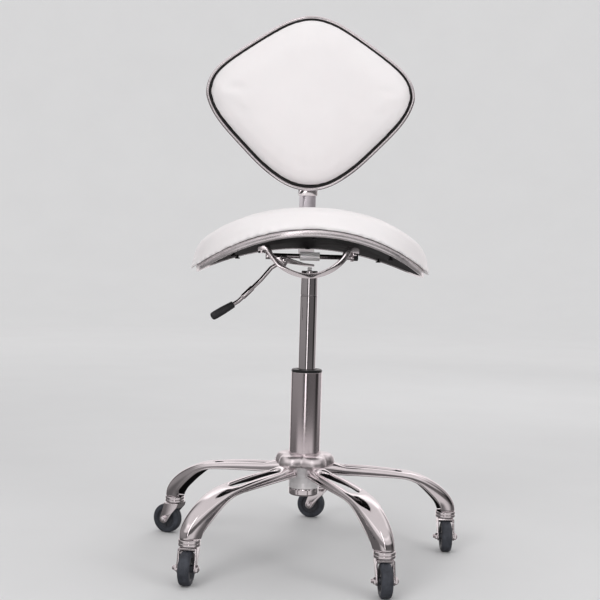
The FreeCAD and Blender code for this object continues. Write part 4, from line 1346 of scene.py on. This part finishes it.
# The studio that the plating mirrors: a large dome with soft boxes, seen by reflections only.
def studio_dome():
    V, F = [], []
    n, m = 48, 96
    R = 7.0
    for i in range(n + 1):
        e = -math.pi / 2 + math.pi * i / n
        for k in range(m):
            a = 2 * math.pi * k / m
            V.append((R * math.cos(e) * math.cos(a), R * math.cos(e) * math.sin(a), 0.45 + R * math.sin(e)))
    for i in range(n):
        for k in range(m):
            k2 = (k + 1) % m
            F.append((i * m + k, i * m + k2, (i + 1) * m + k2, (i + 1) * m + k))
    me = bpy.data.meshes.new("studio_dome")
    me.from_pydata(V, [], F)
    me.update()
    mat = bpy.data.materials.new("studio_light")
    mat.use_nodes = True
    nt = mat.node_tree
    nt.nodes.clear()
    out = nt.nodes.new("ShaderNodeOutputMaterial")
    em = nt.nodes.new("ShaderNodeEmission")
    nt.links.new(em.outputs[0], out.inputs[0])
    tc = nt.nodes.new("ShaderNodeTexCoord")
    sub = nt.nodes.new("ShaderNodeVectorMath")
    sub.operation = "SUBTRACT"
    sub.inputs[1].default_value = (0, 0, 0.45)
    nt.links.new(tc.outputs["Object"], sub.inputs[0])
    nrm = nt.nodes.new("ShaderNodeVectorMath")
    nrm.operation = "NORMALIZE"
    nt.links.new(sub.outputs[0], nrm.inputs[0])
    sep = nt.nodes.new("ShaderNodeSeparateXYZ")
    nt.links.new(nrm.outputs[0], sep.inputs[0])

    def math_node(op, a, b=None):
        q = nt.nodes.new("ShaderNodeMath")
        q.operation = op
        for i, s_ in enumerate((a, b)):
            if s_ is None:
                continue
            if isinstance(s_, (int, float)):
                q.inputs[i].default_value = s_
            else:
                nt.links.new(s_, q.inputs[i])
        return q.outputs[0]

    def smooth(v, a, b):
        """0 below a, 1 above b."""
        q = nt.nodes.new("ShaderNodeMapRange")
        q.interpolation_type = "SMOOTHSTEP"
        q.inputs["From Min"].default_value = a
        q.inputs["From Max"].default_value = b
        q.inputs["To Min"].default_value = 0.0
        q.inputs["To Max"].default_value = 1.0
        nt.links.new(v, q.inputs["Value"])
        return q.outputs[0]

    neg_y = math_node("MULTIPLY", sep.outputs[1], -1.0)
    az = math_node("MULTIPLY", math_node("ARCTAN2", sep.outputs[0], neg_y), 180 / math.pi)   # 0 at the front, + to the right
    el = math_node("MULTIPLY", math_node("ARCSINE", sep.outputs[2]), 180 / math.pi)

    def box(v, lo_, hi_, soft):
        return math_node("MULTIPLY", smooth(v, lo_ - soft / 2, lo_ + soft / 2), math_node("SUBTRACT", 1.0, smooth(v, hi_ - soft / 2, hi_ + soft / 2)))

    total = None
    for az0, az1, azs, el0, el1, els, amp in STUDIO:
        t = box(el, el0, el1, els)
        if az0 is not None:
            t = math_node("MULTIPLY", t, box(az, az0, az1, azs))
        t = math_node("MULTIPLY", t, amp)
        total = t if total is None else math_node("ADD", total, t)
    total = math_node("ADD", total, 0.018)
    em.inputs["Color"].default_value = (1.0, 0.945, 0.955, 1)
    nt.links.new(total, em.inputs["Strength"])
    me.materials.append(mat)
    ob = bpy.data.objects.new("studio_dome", me)
    SC.collection.objects.link(ob)
    ob.visible_camera = False
    ob.visible_diffuse = False
    ob.visible_shadow = False
    ob.visible_transmission = False
    ob.visible_volume_scatter = False


# azimuth from, to, softness; elevation from, to, softness; brightness
STUDIO = (
    (None, None, None, 34.0, 120.0, 24.0, 0.66),        # overhead
    (-80.0, 80.0, 30.0, 11.0, 38.0, 8.0, 0.50),         # front light bank above the camera
    (-130.0, -24.0, 26.0, -10.0, 40.0, 16.0, 0.24),     # large soft box on the left
    (-11.0, -3.0, 3.5, -8.6, 50.0, 2.4, 1.9),         # strip beside the camera
    (8.0, 70.0, 16.0, -12.0, 36.0, 14.0, 0.09),         # weak fill on the right
    (98.0, 150.0, 12.0, -10.0, 45.0, 14.0, 0.34),       # soft box on the right, behind
    (142.0, 181.0, 8.0, -22.0, 45.0, 12.0, 0.80),       # edge lights
    (-181.0, -146.0, 8.0, -22.0, 45.0, 12.0, 0.80),
    (-62.0, 62.0, 30.0, -28.0, -11.0, 5.0, 0.50),       # lit floor in front of the stool
    (None, None, None, -120.0, -10.0, 16.0, 0.10),      # faint bounce from below
)
studio_dome()


def area(name, loc, target, size, energy, color=(1, 1, 1)):
    l = bpy.data.lights.new(name, "AREA")
    l.shape = "RECTANGLE"
    l.size, l.size_y = size
    l.energy = energy
    l.color = color
    o = bpy.data.objects.new(name, l)
    SC.collection.objects.link(o)
    o.location = loc
    d = Vector(target) - Vector(loc)
    o.rotation_euler = d.to_track_quat("-Z", "Y").to_euler()
    o.visible_camera = False
    o.visible_glossy = False
    return o


area("key", (-1.4, -2.2, 1.9), (0, 0, 0.5), (1.5, 1.5), 26)
area("fill", (1.9, -1.7, 1.2), (0, 0, 0.5), (0.9, 1.8), 13)
area("top", (0.1, 0.3, 2.8), (0, 0, 0.4), (1.8, 1.8), 12)
area("rim", (0.8, 2.2, 1.7), (0, 0, 0.5), (1.2, 1.2), 8)
sp = bpy.data.lights.new("under_seat", "SPOT")
sp.energy = 85
sp.spot_size = math.radians(3.3)
sp.spot_blend = 1.0
sp.shadow_soft_size = 0.05
so = bpy.data.objects.new("under_seat", sp)
SC.collection.objects.link(so)
so.location = (0.05, -1.9, 0.36)
so.rotation_euler = (Vector((-0.003, 0.016, 0.479)) - Vector(so.location)).to_track_quat("-Z", "Y").to_euler()
so.visible_glossy = False

SC.view_settings.view_transform = "Standard"
